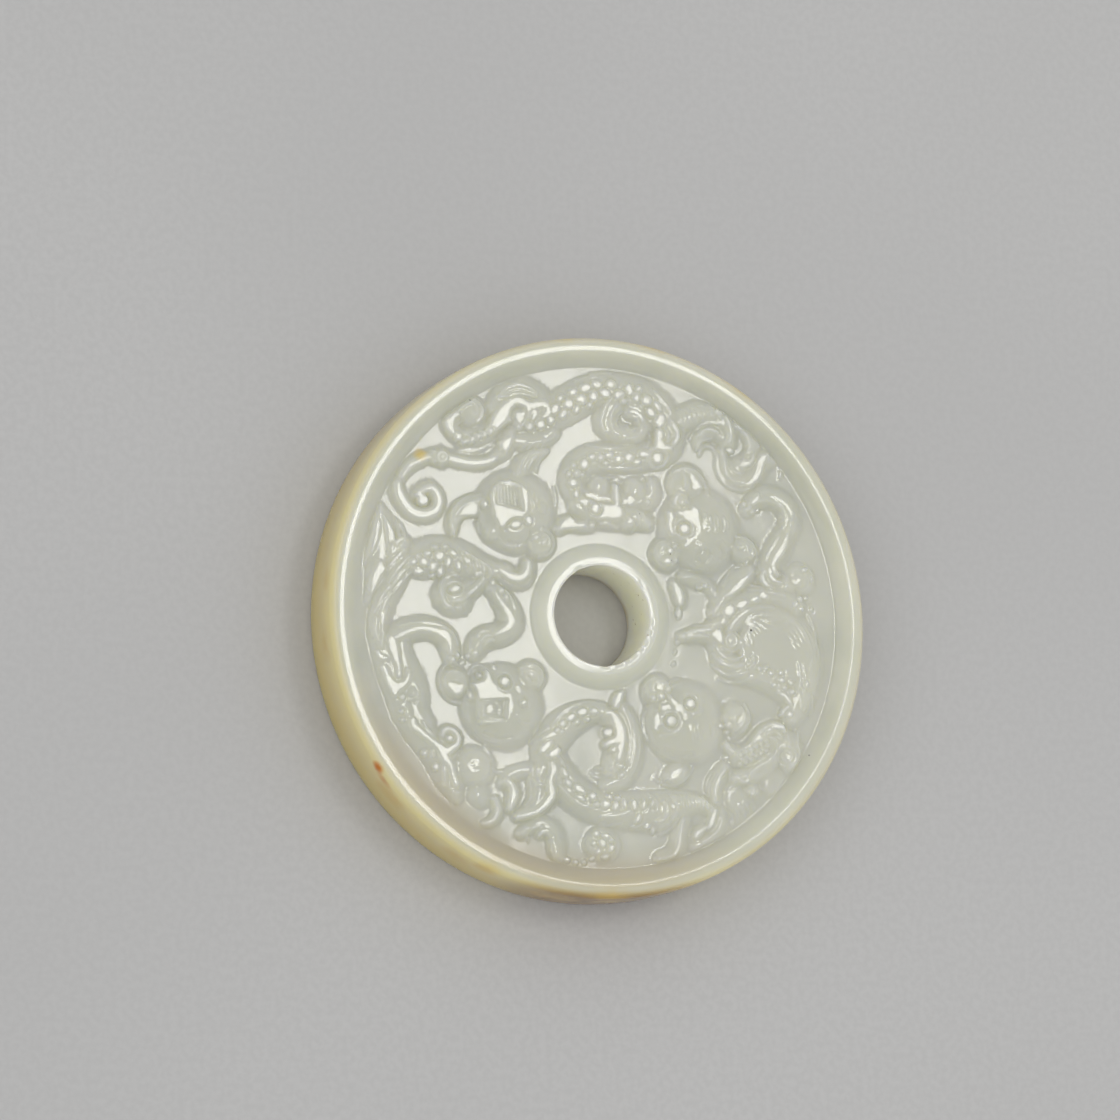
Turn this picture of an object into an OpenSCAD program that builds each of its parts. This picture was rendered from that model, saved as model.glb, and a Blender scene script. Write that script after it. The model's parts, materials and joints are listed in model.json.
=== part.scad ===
// A round disc of pale stone with a cord hole through its middle. The front
// has a raised rim, a raised collar round the hole and, between them, a sunk
// field with carved beasts in low relief. The back is plain. It lies on its
// back: Z = 0 is the back face, +Z is out of the carved face, +Y is the top
// of the carving. All lengths are in millimetres.

/* [Disc] */
// Outside diameter of the disc
disc_d = 57; // [56.4:0.1:60]
// Thickness of the disc from the back to the crest of the rim
disc_t = 7.4; // [6:0.1:10]
// Diameter of the cord hole
hole_d = 10.2; // [8:0.1:10.6]

/* [Rim] */
// Radius of the sharp crest of the rim
crest_r = 27.4; // [27:0.1:27.8]
// How far the rounded outer shoulder falls from the crest to the wall
shoulder_h = 0.5; // [0.3:0.1:1]
// Radius at which the hollow inner slope of the rim meets the field
field_r = 25.1; // [24.6:0.1:25.6]
// Depth of the sunk field below the crest
field_h = 0.95; // [0.6:0.05:1.3]
// Radius of the rounding of the back edge
back_round = 0.6; // [0.3:0.1:1.2]

/* [Collar] */
// Outer radius of the flat lip round the hole
lip_r = 5.9; // [5.7:0.1:6.2]
// Radius of the foot of the collar in the field
collar_r = 7.5; // [7.1:0.1:7.9]
// How far the lip lies below the crest of the rim
lip_drop = 0.05; // [0:0.05:0.3]
// Rounding of the front edge of the hole
hole_round = 0.35; // [0.2:0.05:0.6]
// Bevel of the back edge of the hole
hole_bevel = 0.4; // [0.2:0.1:0.8]

/* [Relief] */
// Height of the beasts' bodies above the field
body_h = 0.6; // [0.3:0.05:0.85]
// Height of the fine curls and leaves above the field
curl_h = 0.45; // [0.2:0.05:0.7]
// Height of the round heads above the field
head_h = 0.85; // [0.5:0.05:1.1]
// How deep the figures are rooted in the disc
root_h = 0.3; // [0.2:0.05:0.6]

/* [Hidden] */
disc_r = disc_d / 2;
hole_r = hole_d / 2;
field_z = disc_t - field_h;
lip_z = disc_t - lip_drop;
// Straight pieces in one quarter round, and in one stretch of a figure
arc_steps = 6;
curve_steps = 4;
cap_steps = 6;

// The four round heads. Columns: x, y, radius at the foot
HEADS = [
    [ -9.0,  10.2, 4.3],
    [ 10.7,   9.4, 4.3],
    [-11.4,  -8.6, 4.2],
    [  8.6, -10.8, 4.4],
];
// Rounded lumps: snouts, cheeks, joints, pearl groups. Columns: x, y, radius
LUMPS = [
    [ -6.3,   7.3, 1.7],
    [  7.3,   6.4, 1.6],
    [ -7.7,  -6.2, 1.6],
    [  6.1,  -7.6, 1.6],
    [  0.3,  13.1, 1.5],
    [  4.1,  12.6, 1.7],
    [-16.3, -12.6, 1.3],
    [ 13.7,  -2.3, 1.3],
    [ 21.4,   3.6, 1.9],
    [ -0.3, -22.8, 1.8],
    [  0.4, -11.7, 0.9],
    [ 17.0, -13.8, 1.8],
    [ 19.6, -14.0, 1.2],
];

// The figures of the relief. Each is a band along a smooth line.
// Columns of every table below: x, y, half width; one row for each section.

// Top beast: neck, arched back and haunch
TOP_BODY = [
    [ -2.2, 12.2, 0.9],
    [ -2.5, 13.6, 1.0],
    [ -1.7, 15.2, 1.1],
    [  0.4, 16.1, 1.1],
    [  3.4, 16.2, 1.1],
    [  6.4, 16.6, 1.3],
    [  7.6, 18.4, 1.4],
    [  6.6, 20.9, 1.5],
    [  4.4, 22.7, 1.5],
    [  1.6, 23.1, 1.4],
    [ -1.2, 22.4, 1.5],
    [ -4.0, 20.9, 1.5],
    [ -6.9, 19.4, 1.3],
];
// Top beast: curl under the arched back
TOP_VOLUTE = [
    [  1.5, 21.9, 0.5],
    [  0.7, 20.4, 0.6],
    [  1.1, 18.9, 0.6],
    [  2.7, 18.3, 0.6],
    [  4.3, 18.9, 0.6],
    [  4.4, 20.0, 0.5],
];
// Top beast: brow
TOP_BROW = [
    [ -1.8, 11.3, 0.5],
    [ -0.4, 10.5, 0.9],
    [  1.4, 10.5, 1.1],
    [  3.2, 10.2, 1.0],
    [  4.6, 10.4, 0.6],
];
// Top beast: hip, running into the tail that curls back
TOP_HIP = [
    [ -5.6, 20.6, 0.6],
    [ -7.0, 21.4, 0.8],
    [ -8.6, 21.6, 0.9],
    [-10.0, 20.3, 0.9],
    [-11.2, 18.7, 0.8],
    [-13.2, 17.7, 0.7],
    [-15.0, 18.0, 0.6],
    [-15.3, 19.6, 0.6],
    [-13.9, 20.9, 0.4],
];
// Top beast: long tendril that ends in a spiral
TOP_SCROLL = [
    [ -9.6, 17.5, 0.7],
    [-11.3, 15.7, 0.7],
    [-14.0, 15.1, 0.8],
    [-17.0, 15.6, 0.8],
    [-19.4, 14.9, 0.8],
    [-20.8, 12.9, 0.8],
    [-20.4, 10.9, 0.8],
    [-18.7,  9.9, 0.8],
    [-17.1, 10.8, 0.7],
    [-17.5, 12.3, 0.5],
];
// Top beast: leg and claw
TOP_LEG = [
    [  8.6, 20.0, 1.0],
    [ 10.6, 20.8, 1.1],
    [ 12.9, 20.7, 0.9],
    [ 14.2, 19.3, 0.7],
    [ 14.4, 17.5, 0.7],
    [ 14.7, 15.9, 0.6],
    [ 16.0, 15.6, 0.6],
    [ 16.7, 17.2, 0.5],
];
// Flame between the top beast and the right one
TOP_FLAME = [
    [ 13.1, 17.0, 0.4],
    [ 13.3, 15.0, 0.6],
    [ 14.6, 13.7, 0.7],
    [ 16.4, 14.1, 0.8],
    [ 17.5, 15.7, 0.8],
    [ 18.6, 16.6, 0.6],
    [ 19.6, 16.1, 0.5],
    [ 19.8, 14.9, 0.4],
];
// Left beast: crest, back, haunch and forked tail
LEFT_BODY = [
    [-21.0,  9.4, 0.4],
    [-20.6,  7.0, 0.8],
    [-21.1,  4.7, 1.2],
    [-22.5,  2.4, 1.1],
    [-23.3,  0.0, 0.9],
    [-23.5, -2.8, 0.8],
    [-22.7, -5.4, 1.0],
    [-21.7, -7.8, 1.1],
    [-20.5,-10.2, 1.1],
    [-18.9,-12.3, 0.9],
    [-17.0,-13.8, 0.8],
    [-16.2,-15.2, 0.7],
    [-15.9,-17.2, 0.5],
];
// Left beast: scaled neck and the claw under the upper left head
LEFT_NECK = [
    [-20.6,  4.9, 1.2],
    [-18.6,  5.3, 1.6],
    [-16.2,  5.2, 1.8],
    [-13.8,  4.5, 1.5],
    [-11.2,  3.9, 0.9],
    [ -9.2,  3.6, 0.7],
    [ -7.9,  4.8, 0.4],
];
// Left beast: face
LEFT_FACE = [
    [-16.6,  2.7, 1.0],
    [-15.4,  1.9, 1.1],
    [-13.9,  2.2, 0.8],
    [-12.4,  3.3, 0.5],
];
// Left beast: fore leg
LEFT_FORE = [
    [-22.4, -2.9, 0.7],
    [-20.5, -2.1, 0.8],
    [-18.2, -1.8, 0.8],
    [-16.3, -2.4, 0.8],
    [-15.6, -4.2, 0.7],
];
// Left beast: hind leg by the collar
LEFT_HIND = [
    [-10.9,  2.1, 0.6],
    [ -9.8,  0.7, 0.6],
    [ -9.7, -0.8, 0.7],
    [-11.0, -1.9, 0.8],
    [-12.7, -2.5, 0.8],
    [-13.4, -4.0, 0.7],
];
// Left wing: the three long feathers
FEATHER_A = [
    [-23.2, 10.0, 0.3],
    [-23.7,  8.2, 0.5],
    [-24.3,  5.8, 0.5],
    [-24.8,  3.9, 0.3],
];
FEATHER_B = [
    [-22.7,  9.9, 0.2],
    [-22.0,  8.0, 0.5],
    [-21.9,  5.8, 0.4],
];
FEATHER_C = [
    [-22.7,  4.7, 0.4],
    [-23.4,  3.2, 0.7],
    [-24.1,  1.8, 0.4],
];
// Bottom beast: neck, back and ribbed tail
LOW_BODY = [
    [  0.0,-10.0, 0.6],
    [ -2.2, -9.8, 0.9],
    [ -4.4,-11.0, 1.0],
    [ -5.7,-13.2, 1.2],
    [ -4.9,-15.6, 1.2],
    [ -3.2,-17.5, 1.2],
    [ -0.8,-18.8, 1.3],
    [  2.2,-19.3, 1.4],
    [  5.2,-19.0, 1.3],
    [  8.2,-18.5, 1.0],
    [ 10.8,-19.1, 0.7],
];
// Bottom beast: face
LOW_FACE = [
    [  0.9,-10.0, 0.5],
    [  1.8,-11.6, 0.6],
    [  1.5,-13.4, 0.7],
    [  0.6,-15.0, 0.6],
];
// Bottom beast: leg
LOW_LEG = [
    [ -5.6,-15.4, 0.6],
    [ -6.0,-17.4, 0.6],
    [ -7.2,-19.5, 0.5],
    [ -9.4,-20.3, 0.4],
];
// Bottom beast: curls and leaves round it
LOW_LEAF = [
    [-10.3,-16.7, 0.5],
    [ -9.8,-18.0, 0.6],
    [-10.1,-19.4, 0.5],
];
LOW_ARC = [
    [-11.6,-18.8, 0.4],
    [-11.8,-20.1, 0.5],
    [-12.9,-20.9, 0.4],
];
LOW_HOOK = [
    [ -7.3,-21.4, 0.4],
    [ -5.9,-21.9, 0.6],
    [ -5.4,-23.3, 0.7],
    [ -4.2,-24.4, 0.4],
];
LOW_TAIL = [
    [  5.7,-24.2, 0.4],
    [  7.3,-23.4, 0.5],
    [  7.9,-21.9, 0.5],
    [  8.4,-20.5, 0.4],
];
LOW_FLAME = [
    [  9.6,-21.9, 0.5],
    [ 10.9,-20.9, 0.6],
    [ 11.6,-19.6, 0.4],
];
// Right beast: back, wing arch and shoulder
RIGHT_BODY = [
    [ 12.7, -0.1, 0.4],
    [ 13.9,  0.8, 0.8],
    [ 15.4,  1.5, 0.9],
    [ 17.6,  1.9, 1.0],
    [ 20.0,  1.2, 1.0],
    [ 21.8, -0.7, 1.0],
    [ 22.5, -3.2, 1.0],
    [ 22.0, -5.8, 1.0],
    [ 20.9, -8.2, 1.1],
    [ 20.0, -9.8, 0.9],
];
// Right beast: leg that reaches up to the flame
RIGHT_LEG = [
    [ 16.4, 12.0, 0.5],
    [ 17.8, 12.8, 0.6],
    [ 19.6, 12.3, 0.7],
    [ 20.7, 10.8, 0.6],
    [ 20.3,  9.0, 0.7],
    [ 19.2,  7.0, 0.8],
    [ 18.4,  5.0, 0.8],
    [ 19.3,  3.9, 0.8],
];
// Right beast: arm by the collar
RIGHT_ARM = [
    [  9.2, -1.6, 0.4],
    [ 10.8, -1.4, 0.6],
    [ 12.3, -1.8, 0.9],
    [ 12.9, -3.4, 0.8],
    [ 14.3, -4.5, 0.8],
    [ 16.3, -4.9, 0.8],
    [ 18.2, -5.9, 0.8],
    [ 19.6, -7.4, 0.8],
];
// Right beast: head, with its jaw
RIGHT_HEAD = [
    [ 13.2,-12.9, 0.3],
    [ 14.4,-13.8, 0.7],
    [ 16.2,-13.0, 1.0],
    [ 17.7,-11.8, 1.1],
    [ 19.3,-11.8, 1.0],
    [ 20.2,-13.1, 0.7],
];
RIGHT_JAW = [
    [ 14.4,-15.8, 0.5],
    [ 15.8,-15.2, 0.8],
    [ 17.0,-14.5, 0.6],
];
RIGHT_CURL = [
    [ 12.8,-15.4, 0.3],
    [ 12.0,-16.9, 0.5],
    [ 11.8,-18.6, 0.4],
];
RIGHT_LEAF = [
    [ 13.4,  2.4, 0.3],
    [ 14.8,  3.6, 0.6],
    [ 16.0,  4.5, 0.4],
];
RIGHT_LINK = [
    [  8.2,  3.2, 0.4],
    [  8.4,  1.7, 0.5],
    [  8.4,  0.1, 0.4],
];
// Ears of the round heads
EAR_A = [
    [-12.7, 11.2, 0.6],
    [-14.2, 10.2, 0.8],
    [-15.2,  8.4, 0.4],
];
EAR_B = [
    [ -7.8, 14.3, 0.9],
    [ -6.9, 15.6, 0.7],
    [ -5.7, 16.4, 0.3],
];
EAR_C = [
    [ 10.0, 13.2, 1.1],
    [ 10.4, 14.4, 0.7],
];
EAR_D = [
    [ 15.0,  7.8, 0.8],
    [ 16.3,  6.9, 0.5],
];
EAR_E = [
    [-14.9, -8.4, 0.7],
    [-15.9, -7.1, 0.9],
    [-15.7, -5.4, 0.6],
];
EAR_F = [
    [ 13.2, -8.9, 0.7],
    [ 14.4, -9.7, 0.8],
    [ 14.7,-11.0, 0.5],
];
EAR_G = [
    [  8.4,-15.2, 0.7],
    [  7.3,-16.1, 0.6],
    [  6.2,-16.5, 0.3],
];

BODIES = [TOP_BODY, TOP_HIP, TOP_LEG, TOP_BROW, LEFT_BODY, LEFT_NECK,
    LEFT_FACE, LEFT_FORE, LEFT_HIND, LOW_BODY, LOW_FACE, LOW_LEG,
    RIGHT_BODY, RIGHT_LEG, RIGHT_ARM, RIGHT_HEAD];
CURLS = [TOP_VOLUTE, TOP_SCROLL, TOP_FLAME, FEATHER_A, FEATHER_B, FEATHER_C,
    LOW_LEAF, LOW_ARC, LOW_HOOK, LOW_TAIL, LOW_FLAME, RIGHT_JAW, RIGHT_CURL,
    RIGHT_LEAF, RIGHT_LINK, EAR_A, EAR_B, EAR_C, EAR_D, EAR_E, EAR_F, EAR_G];

// A point on the smooth curve through b and c, a fraction t from b to c
function smooth(a, b, c, d, t) =
    0.5 * (2 * b + (c - a) * t + (2 * a - 5 * b + 4 * c - d) * t * t
        + (3 * b - a - 3 * c + d) * t * t * t);
// All sections of a band, with curve_steps stretches between two rows
function sections(tab) = let (n = len(tab) - 1) [
    for (i = [0 : n - 1]) for (k = [0 : curve_steps - 1])
        smooth(tab[max(i - 1, 0)], tab[i], tab[i + 1], tab[min(i + 2, n)],
            k / curve_steps),
    tab[n]
];
// Direction of the band at section i
function along(s, i) = let (a = s[max(i - 1, 0)], b = s[min(i + 1, len(s) - 1)],
    d = [b[0] - a[0], b[1] - a[1]]) d / norm(d);
function side(v) = [-v[1], v[0]];
function at(p) = [p[0], p[1]];
// Closed outline of a band: left side, round end, right side, round end
function outline(s) = let (n = len(s) - 1) [
    for (i = [0 : n - 1]) at(s[i]) + s[i][2] * side(along(s, i)),
    for (k = [0 : cap_steps]) let (a = 180 * k / cap_steps, v = along(s, n))
        at(s[n]) + s[n][2] * (cos(a) * side(v) + sin(a) * v),
    for (i = [n - 1 : -1 : 1]) at(s[i]) - s[i][2] * side(along(s, i)),
    for (k = [0 : cap_steps - 1]) let (a = 180 * k / cap_steps, v = along(s, 0))
        at(s[0]) - s[0][2] * (cos(a) * side(v) + sin(a) * v),
];

// Half section of the disc, from the back edge of the hole outwards
function disc_section() = [
    [hole_r, hole_bevel],
    [hole_r + hole_bevel, 0],
    for (k = [0 : arc_steps]) let (a = 90 * k / arc_steps)
        [disc_r - back_round + back_round * sin(a),
         back_round - back_round * cos(a)],
    for (k = [0 : arc_steps]) let (a = 90 * k / arc_steps)
        [crest_r + (disc_r - crest_r) * cos(a),
         disc_t - shoulder_h + shoulder_h * sin(a)],
    for (k = [1 : arc_steps]) let (u = 1 - k / arc_steps)
        [field_r + (crest_r - field_r) * u, field_z + field_h * u * u],
    for (k = [0 : arc_steps]) let (u = k / arc_steps)
        [collar_r - (collar_r - lip_r) * u,
         field_z + (lip_z - field_z) * (1.6 * u * u - 0.6 * u * u * u)],
    for (k = [0 : arc_steps]) let (a = 90 * k / arc_steps)
        [hole_r + hole_round - hole_round * sin(a),
         lip_z - hole_round + hole_round * cos(a)],
];

// A low dome of the given foot radius and height, standing in the field
module dome(foot, h) {
    ball = (foot * foot + h * h) / (2 * h);
    intersection() {
        translate([0, 0, field_z + h - ball]) sphere(r = ball, $fn = 96);
        translate([0, 0, field_z - root_h])
            cylinder(r = foot * 0.97, h = h + root_h + 1, $fn = 96);
    }
}

// Bands of the relief that stand to one height, with upright sides
module bands(tabs, h, root) {
    translate([0, 0, field_z - root]) linear_extrude(height = h + root)
        for (tab = tabs) polygon(outline(sections(tab)));
}

module relief() {
    bands(BODIES, body_h, root_h);
    bands(CURLS, curl_h, root_h * 0.8);
    for (h = HEADS) translate([h[0], h[1], 0]) dome(h[2], head_h);
    for (l = LUMPS) translate([l[0], l[1], 0]) dome(l[2], body_h + 0.1);
}

module jade_disc() {
    color([0.80, 0.81, 0.73]) union() {
        rotate_extrude($fn = 180) polygon(disc_section());
        relief();
    }
}

jade_disc();
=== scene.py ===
import json
import math

import bpy
import numpy as np
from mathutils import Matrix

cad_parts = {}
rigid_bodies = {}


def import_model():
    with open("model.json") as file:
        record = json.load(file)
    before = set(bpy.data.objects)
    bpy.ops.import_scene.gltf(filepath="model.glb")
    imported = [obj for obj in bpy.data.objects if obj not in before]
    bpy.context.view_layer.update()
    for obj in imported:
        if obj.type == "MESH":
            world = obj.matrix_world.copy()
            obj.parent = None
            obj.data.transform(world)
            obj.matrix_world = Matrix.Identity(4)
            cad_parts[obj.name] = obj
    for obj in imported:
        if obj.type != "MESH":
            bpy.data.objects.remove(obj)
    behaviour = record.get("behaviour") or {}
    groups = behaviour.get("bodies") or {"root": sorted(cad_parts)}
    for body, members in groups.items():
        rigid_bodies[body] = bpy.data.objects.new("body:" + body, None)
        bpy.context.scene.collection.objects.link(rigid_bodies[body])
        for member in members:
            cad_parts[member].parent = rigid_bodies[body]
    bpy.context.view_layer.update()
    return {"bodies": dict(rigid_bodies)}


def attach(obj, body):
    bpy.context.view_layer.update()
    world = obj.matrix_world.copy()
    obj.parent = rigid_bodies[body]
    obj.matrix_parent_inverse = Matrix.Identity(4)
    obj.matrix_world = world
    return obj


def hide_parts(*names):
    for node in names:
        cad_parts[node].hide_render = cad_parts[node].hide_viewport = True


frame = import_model()
body = sorted(frame["bodies"])[0]

import math
import numpy as np

# --- relief block: numpy only -------------------------------------------------
# Heights are in millimetres above the sunk field; the rim's crest is at 0.95.
FIELD_R, COLLAR_R, CLIMB_R = 25.4, 7.5, 23.0
PITCH = 0.05                      # raster pitch
HALF = 26.0                       # half side of the raster
COUNT = int(round(2 * HALF / PITCH)) + 1
AXIS = np.linspace(-HALF, HALF, COUNT)
GX, GY = np.meshgrid(AXIS, AXIS)
H = np.zeros((COUNT, COUNT))
STAGE = {"masses": True}          # first the bodies, which are softened together, then the detail on them


def lean(x, y):
    """How steeply the polished tops rise to the lower right, where the carver's strokes left them leaning."""
    u = 0.87 * x - 0.5 * y
    return np.clip((u + 2) / 5, 0, 1) * (0.028 + 0.002 * np.maximum(u, 0))


def window(lo, hi):
    """The raster window that covers a box, and its x and y."""
    a = np.clip(((np.asarray(lo) + HALF) / PITCH).astype(int), 0, COUNT - 1)
    b = np.clip(((np.asarray(hi) + HALF) / PITCH).astype(int) + 2, 1, COUNT)
    win = (slice(a[1], max(b[1], a[1] + 1)), slice(a[0], max(b[0], a[0] + 1)))
    return win, GX[win], GY[win]


def curve(rows, gap=0.14):
    """Rows every gap or so on the smooth line through the given rows; all columns follow it."""
    p = np.array(rows, float)
    if len(p) == 2:
        n = max(1, int(math.ceil(np.hypot(*(p[1] - p[0])[:2]) / gap)))
        return p[0] + (p[1] - p[0]) * np.linspace(0, 1, n + 1)[:, None]
    step = np.maximum(np.hypot(*np.diff(p[:, :2], axis=0).T), 1e-6)
    k = np.concatenate([[0], np.cumsum(np.sqrt(step))])
    slope = np.diff(p, axis=0) / np.diff(k)[:, None]
    tan = np.empty_like(p)
    a, b = np.diff(k)[:-1, None], np.diff(k)[1:, None]
    tan[1:-1] = (slope[:-1] * b + slope[1:] * a) / (a + b)
    tan[0], tan[-1] = 1.5 * slope[0] - 0.5 * tan[1], 1.5 * slope[-1] - 0.5 * tan[-2]
    out = []
    for i, length in enumerate(step):
        n = max(1, int(math.ceil(length / gap)))
        t = (np.arange(n) / n)[:, None]
        w = k[i + 1] - k[i]
        out.append((2 * t**3 - 3 * t**2 + 1) * p[i] + (t**3 - 2 * t**2 + t) * w * tan[i]
                   + (3 * t**2 - 2 * t**3) * p[i + 1] + (t**3 - t**2) * w * tan[i + 1])
    out.append(p[-1:])
    return np.vstack(out)


def reach_of(rows, reach):
    """Window round a line, and for its cells: how far outside its width, the width, the way along or the fourth column,
    and how much of the common lean it has gained across."""
    c = curve(rows)
    far = reach + c[:, 2].max()
    win, x, y = window(c[:, :2].min(0) - far, c[:, :2].max(0) + far)
    out, wid = np.full(x.shape, 99.0), np.zeros(x.shape)
    way, over = np.zeros(x.shape), np.zeros(x.shape)
    x0, y0, run = x[0, 0], y[0, 0], 0.0
    for a, b in zip(c[:-1], c[1:]):
        v = b[:2] - a[:2]
        length = math.hypot(v[0], v[1])
        if length < 1e-7:
            continue
        r = reach + max(a[2], b[2])
        i0 = max(int((min(a[0], b[0]) - r - x0) / PITCH), 0)
        i1 = int((max(a[0], b[0]) + r - x0) / PITCH) + 2
        j0 = max(int((min(a[1], b[1]) - r - y0) / PITCH), 0)
        j1 = int((max(a[1], b[1]) + r - y0) / PITCH) + 2
        s = (slice(j0, j1), slice(i0, i1))
        px, py = x[s] - a[0], y[s] - a[1]
        t = np.clip((px * v[0] + py * v[1]) / length**2, 0, 1)
        w = a[2] + (b[2] - a[2]) * t
        e = np.hypot(px - v[0] * t, py - v[1] * t) - w
        better = e < out[s]
        out[s] = np.where(better, e, out[s])
        wid[s] = np.where(better, w, wid[s])
        way[s] = np.where(better, a[3] + (b[3] - a[3]) * t if len(a) > 3 else run + t * length, way[s])
        c = -(0.87 * v[1] + 0.5 * v[0]) / length
        d = (v[0] * py - v[1] * px) / length
        over[s] = np.where(better, 1.15 * c / (c * c + 0.15) * d, over[s])
        run += length
    return win, out, wid, way, over


def fall(t):
    """1 up to t = 0, then a soft shoulder and foot down to 0 at t = 1."""
    t = np.clip(t, 0, 1)
    return 1 - t * t * (3 - 2 * t)


def width(w, *points, ends=(0.35, 0.35)):
    """Sections of a ribbon of half width w that narrows towards its two ends by the given shares."""
    n = len(points) - 1
    rows = []
    for i, (x, y) in enumerate(points):
        t = i / n
        share = ends[0] + (1 - ends[0]) * min(1, 2.2 * t), ends[1] + (1 - ends[1]) * min(1, 2.2 * (1 - t))
        rows.append((x, y, w * min(share)))
    return rows


def band(h, foot, rows, lit=1.0):
    """A flat-topped band of the given height above the field, with soft sides foot wide and lit times the common lean."""
    win, e, _, _, over = reach_of(rows, foot + 0.05)
    H[win] = np.maximum(H[win], (h + lit * lean(GX[win], GY[win]) * over) * fall((e - 0.05) / foot))


def mound(h, rows, power=1.0):
    """A rounded body; the sections' half width is that of its foot."""
    if not STAGE["masses"]:
        return
    win, e, w, _, _ = reach_of(rows, 0.05)
    t = np.clip((e + w) / np.maximum(w, 1e-6), 0, 1)
    H[win] = np.maximum(H[win], h * (1 - t * t) ** power)


def dome(x, y, r, h, power=1.0, squash=1.0, turn=0.0):
    """A round boss of foot radius r; squash is its short side over its long one."""
    if not STAGE["masses"]:
        return
    win, gx, gy = window((x - r, y - r), (x + r, y + r))
    c, s = math.cos(math.radians(turn)), math.sin(math.radians(turn))
    u, v = (gx - x) * c + (gy - y) * s, -(gx - x) * s + (gy - y) * c
    t = np.clip(np.hypot(u, v / squash) / r, 0, 1)
    H[win] = np.maximum(H[win], h * (1 - t * t) ** power)


def boss(x, y, r, h, foot=1.0, rise=0.18, squash=1.0, turn=0.0, point=0.0):
    """A broad cushion: sides foot wide up to height h, and a gently domed (or, with point=1, peaked) top that rises on by rise."""
    if not STAGE["masses"]:
        return
    win, gx, gy = window((x - r, y - r), (x + r, y + r))
    c, s = math.cos(math.radians(turn)), math.sin(math.radians(turn))
    u, v = (gx - x) * c + (gy - y) * s, -(gx - x) * s + (gy - y) * c
    d = np.hypot(u, v / squash)
    t = np.clip(d / (r - 0.5 * foot), 0, 1)
    top = (1 - point) * (1 - t * t) + point * (1 - t)
    H[win] = np.maximum(H[win], h * fall((d - r + foot) / foot) + rise * top)


def beads(h, rows, foot=0.13, moat=0.5):
    """Pearls or scales with flat polished tops, each in a small sunk ring. Columns: x, y, half length, half breadth, turn."""
    if STAGE["masses"]:
        return
    for x, y, a, b, turn in rows:
        m = max(a, b) + 3 * foot
        win, gx, gy = window((x - m, y - m), (x + m, y + m))
        c, s = math.cos(math.radians(turn)), math.sin(math.radians(turn))
        u, v = (gx - x) * c + (gy - y) * s, -(gx - x) * s + (gy - y) * c
        d, t = np.hypot(u, v), np.maximum(np.hypot(u / a, v / b), 1e-6)
        e = d - d / t - 0.035
        top = H[win][t < 1].mean() + h if (t < 1).any() else h
        share = fall(e / foot)
        sunk = np.sin(np.pi * np.clip(e / (2.6 * foot), 0, 1))
        top = top + lean(x, y) * (0.87 * (gx - x) - 0.5 * (gy - y)) - 0.006 * np.minimum(t, 1.3) ** 2
        H[win] = (H[win] - moat * h * sunk * (1 - share)) * (1 - share) + top * share


def line(h, w, *points, foot=0.14, ends=(0.4, 0.4), lit=1.0):
    """A thin raised line with a flat top across, which leans in the right half, on whatever surface it follows."""
    if STAGE["masses"]:
        return
    rows = []
    for x, y, half in curve(width(w, *points, ends=ends), 0.3):
        i, j = int(round((x + HALF) / PITCH)), int(round((y + HALF) / PITCH))
        n = max(2, int(half / PITCH) + 1)
        rows.append((x, y, half, H[max(j - n, 0):j + n + 1, max(i - n, 0):i + n + 1].mean()))
    rows = np.array(rows)
    for _ in range(3):
        rows[1:-1, 3] = (rows[:-2, 3] + 2 * rows[1:-1, 3] + rows[2:, 3]) / 4
    win, e, _, base, over = reach_of(rows, foot)
    share = fall((e - 0.03) / foot)
    H[win] = H[win] * (1 - share) + (base + h + lit * lean(GX[win], GY[win]) * over) * share


def cut(h, w, *points, foot=0.12, ends=(0.4, 0.4)):
    """A thin groove in whatever surface it crosses."""
    if STAGE["masses"]:
        return
    win, e, _, _, _ = reach_of(width(w, *points, ends=ends), foot)
    H[win] -= h * fall(e / foot)


def ring(x, y, r, start=0, stop=360, squash=1.0, turn=0.0):
    """Points on a round or oval arc."""
    n = max(4, int(abs(stop - start) / 24))
    c, s = math.cos(math.radians(turn)), math.sin(math.radians(turn))
    out = []
    for i in range(n + 1):
        a = math.radians(start + (stop - start) * i / n)
        u, v = r * math.cos(a), r * squash * math.sin(a)
        out.append((x + u * c - v * s, y + u * s + v * c))
    return out


def plate(level, foot, points, tilt=None):
    """A flat facet with the given outline. It lies at level over its middle and rises by tilt (x, y), or by the common lean."""
    if STAGE["masses"]:
        return
    p = np.array(points, float)
    win, gx, gy = window(p.min(0) - foot, p.max(0) + foot)
    d, inside = np.full(gx.shape, 99.0), np.zeros(gx.shape, bool)
    for a, b in zip(p, np.roll(p, -1, axis=0)):
        v = b - a
        t = np.clip(((gx - a[0]) * v[0] + (gy - a[1]) * v[1]) / (v @ v + 1e-12), 0, 1)
        d = np.minimum(d, np.hypot(gx - a[0] - v[0] * t, gy - a[1] - v[1] * t))
        crosses = (a[1] > gy) != (b[1] > gy)
        with np.errstate(divide="ignore", invalid="ignore"):
            xc = a[0] + (gy - a[1]) * v[0] / (v[1] if abs(v[1]) > 1e-12 else 1e-12)
        inside ^= crosses & (gx < xc)
    e = np.where(inside, -d, d)
    m = p.mean(0)
    if tilt is None:
        tilt = 0.87 * lean(*m), -0.5 * lean(*m)
    top = level + tilt[0] * (gx - m[0]) + tilt[1] * (gy - m[1])
    share = fall(e / foot * 0.75 + 0.25)
    H[win] = H[win] * (1 - share) + top * share


def hatch(h, w, corners, count):
    """Parallel cuts across a four-cornered field, from its first side to the third."""
    a, b, c, d = (np.array(q, float) for q in corners)
    for i in range(count):
        t = (i + 0.5) / count
        p, q = a + (b - a) * t, d + (c - d) * t
        cut(h, w, tuple(p), tuple(q), foot=0.07, ends=(0.7, 0.7))


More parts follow.
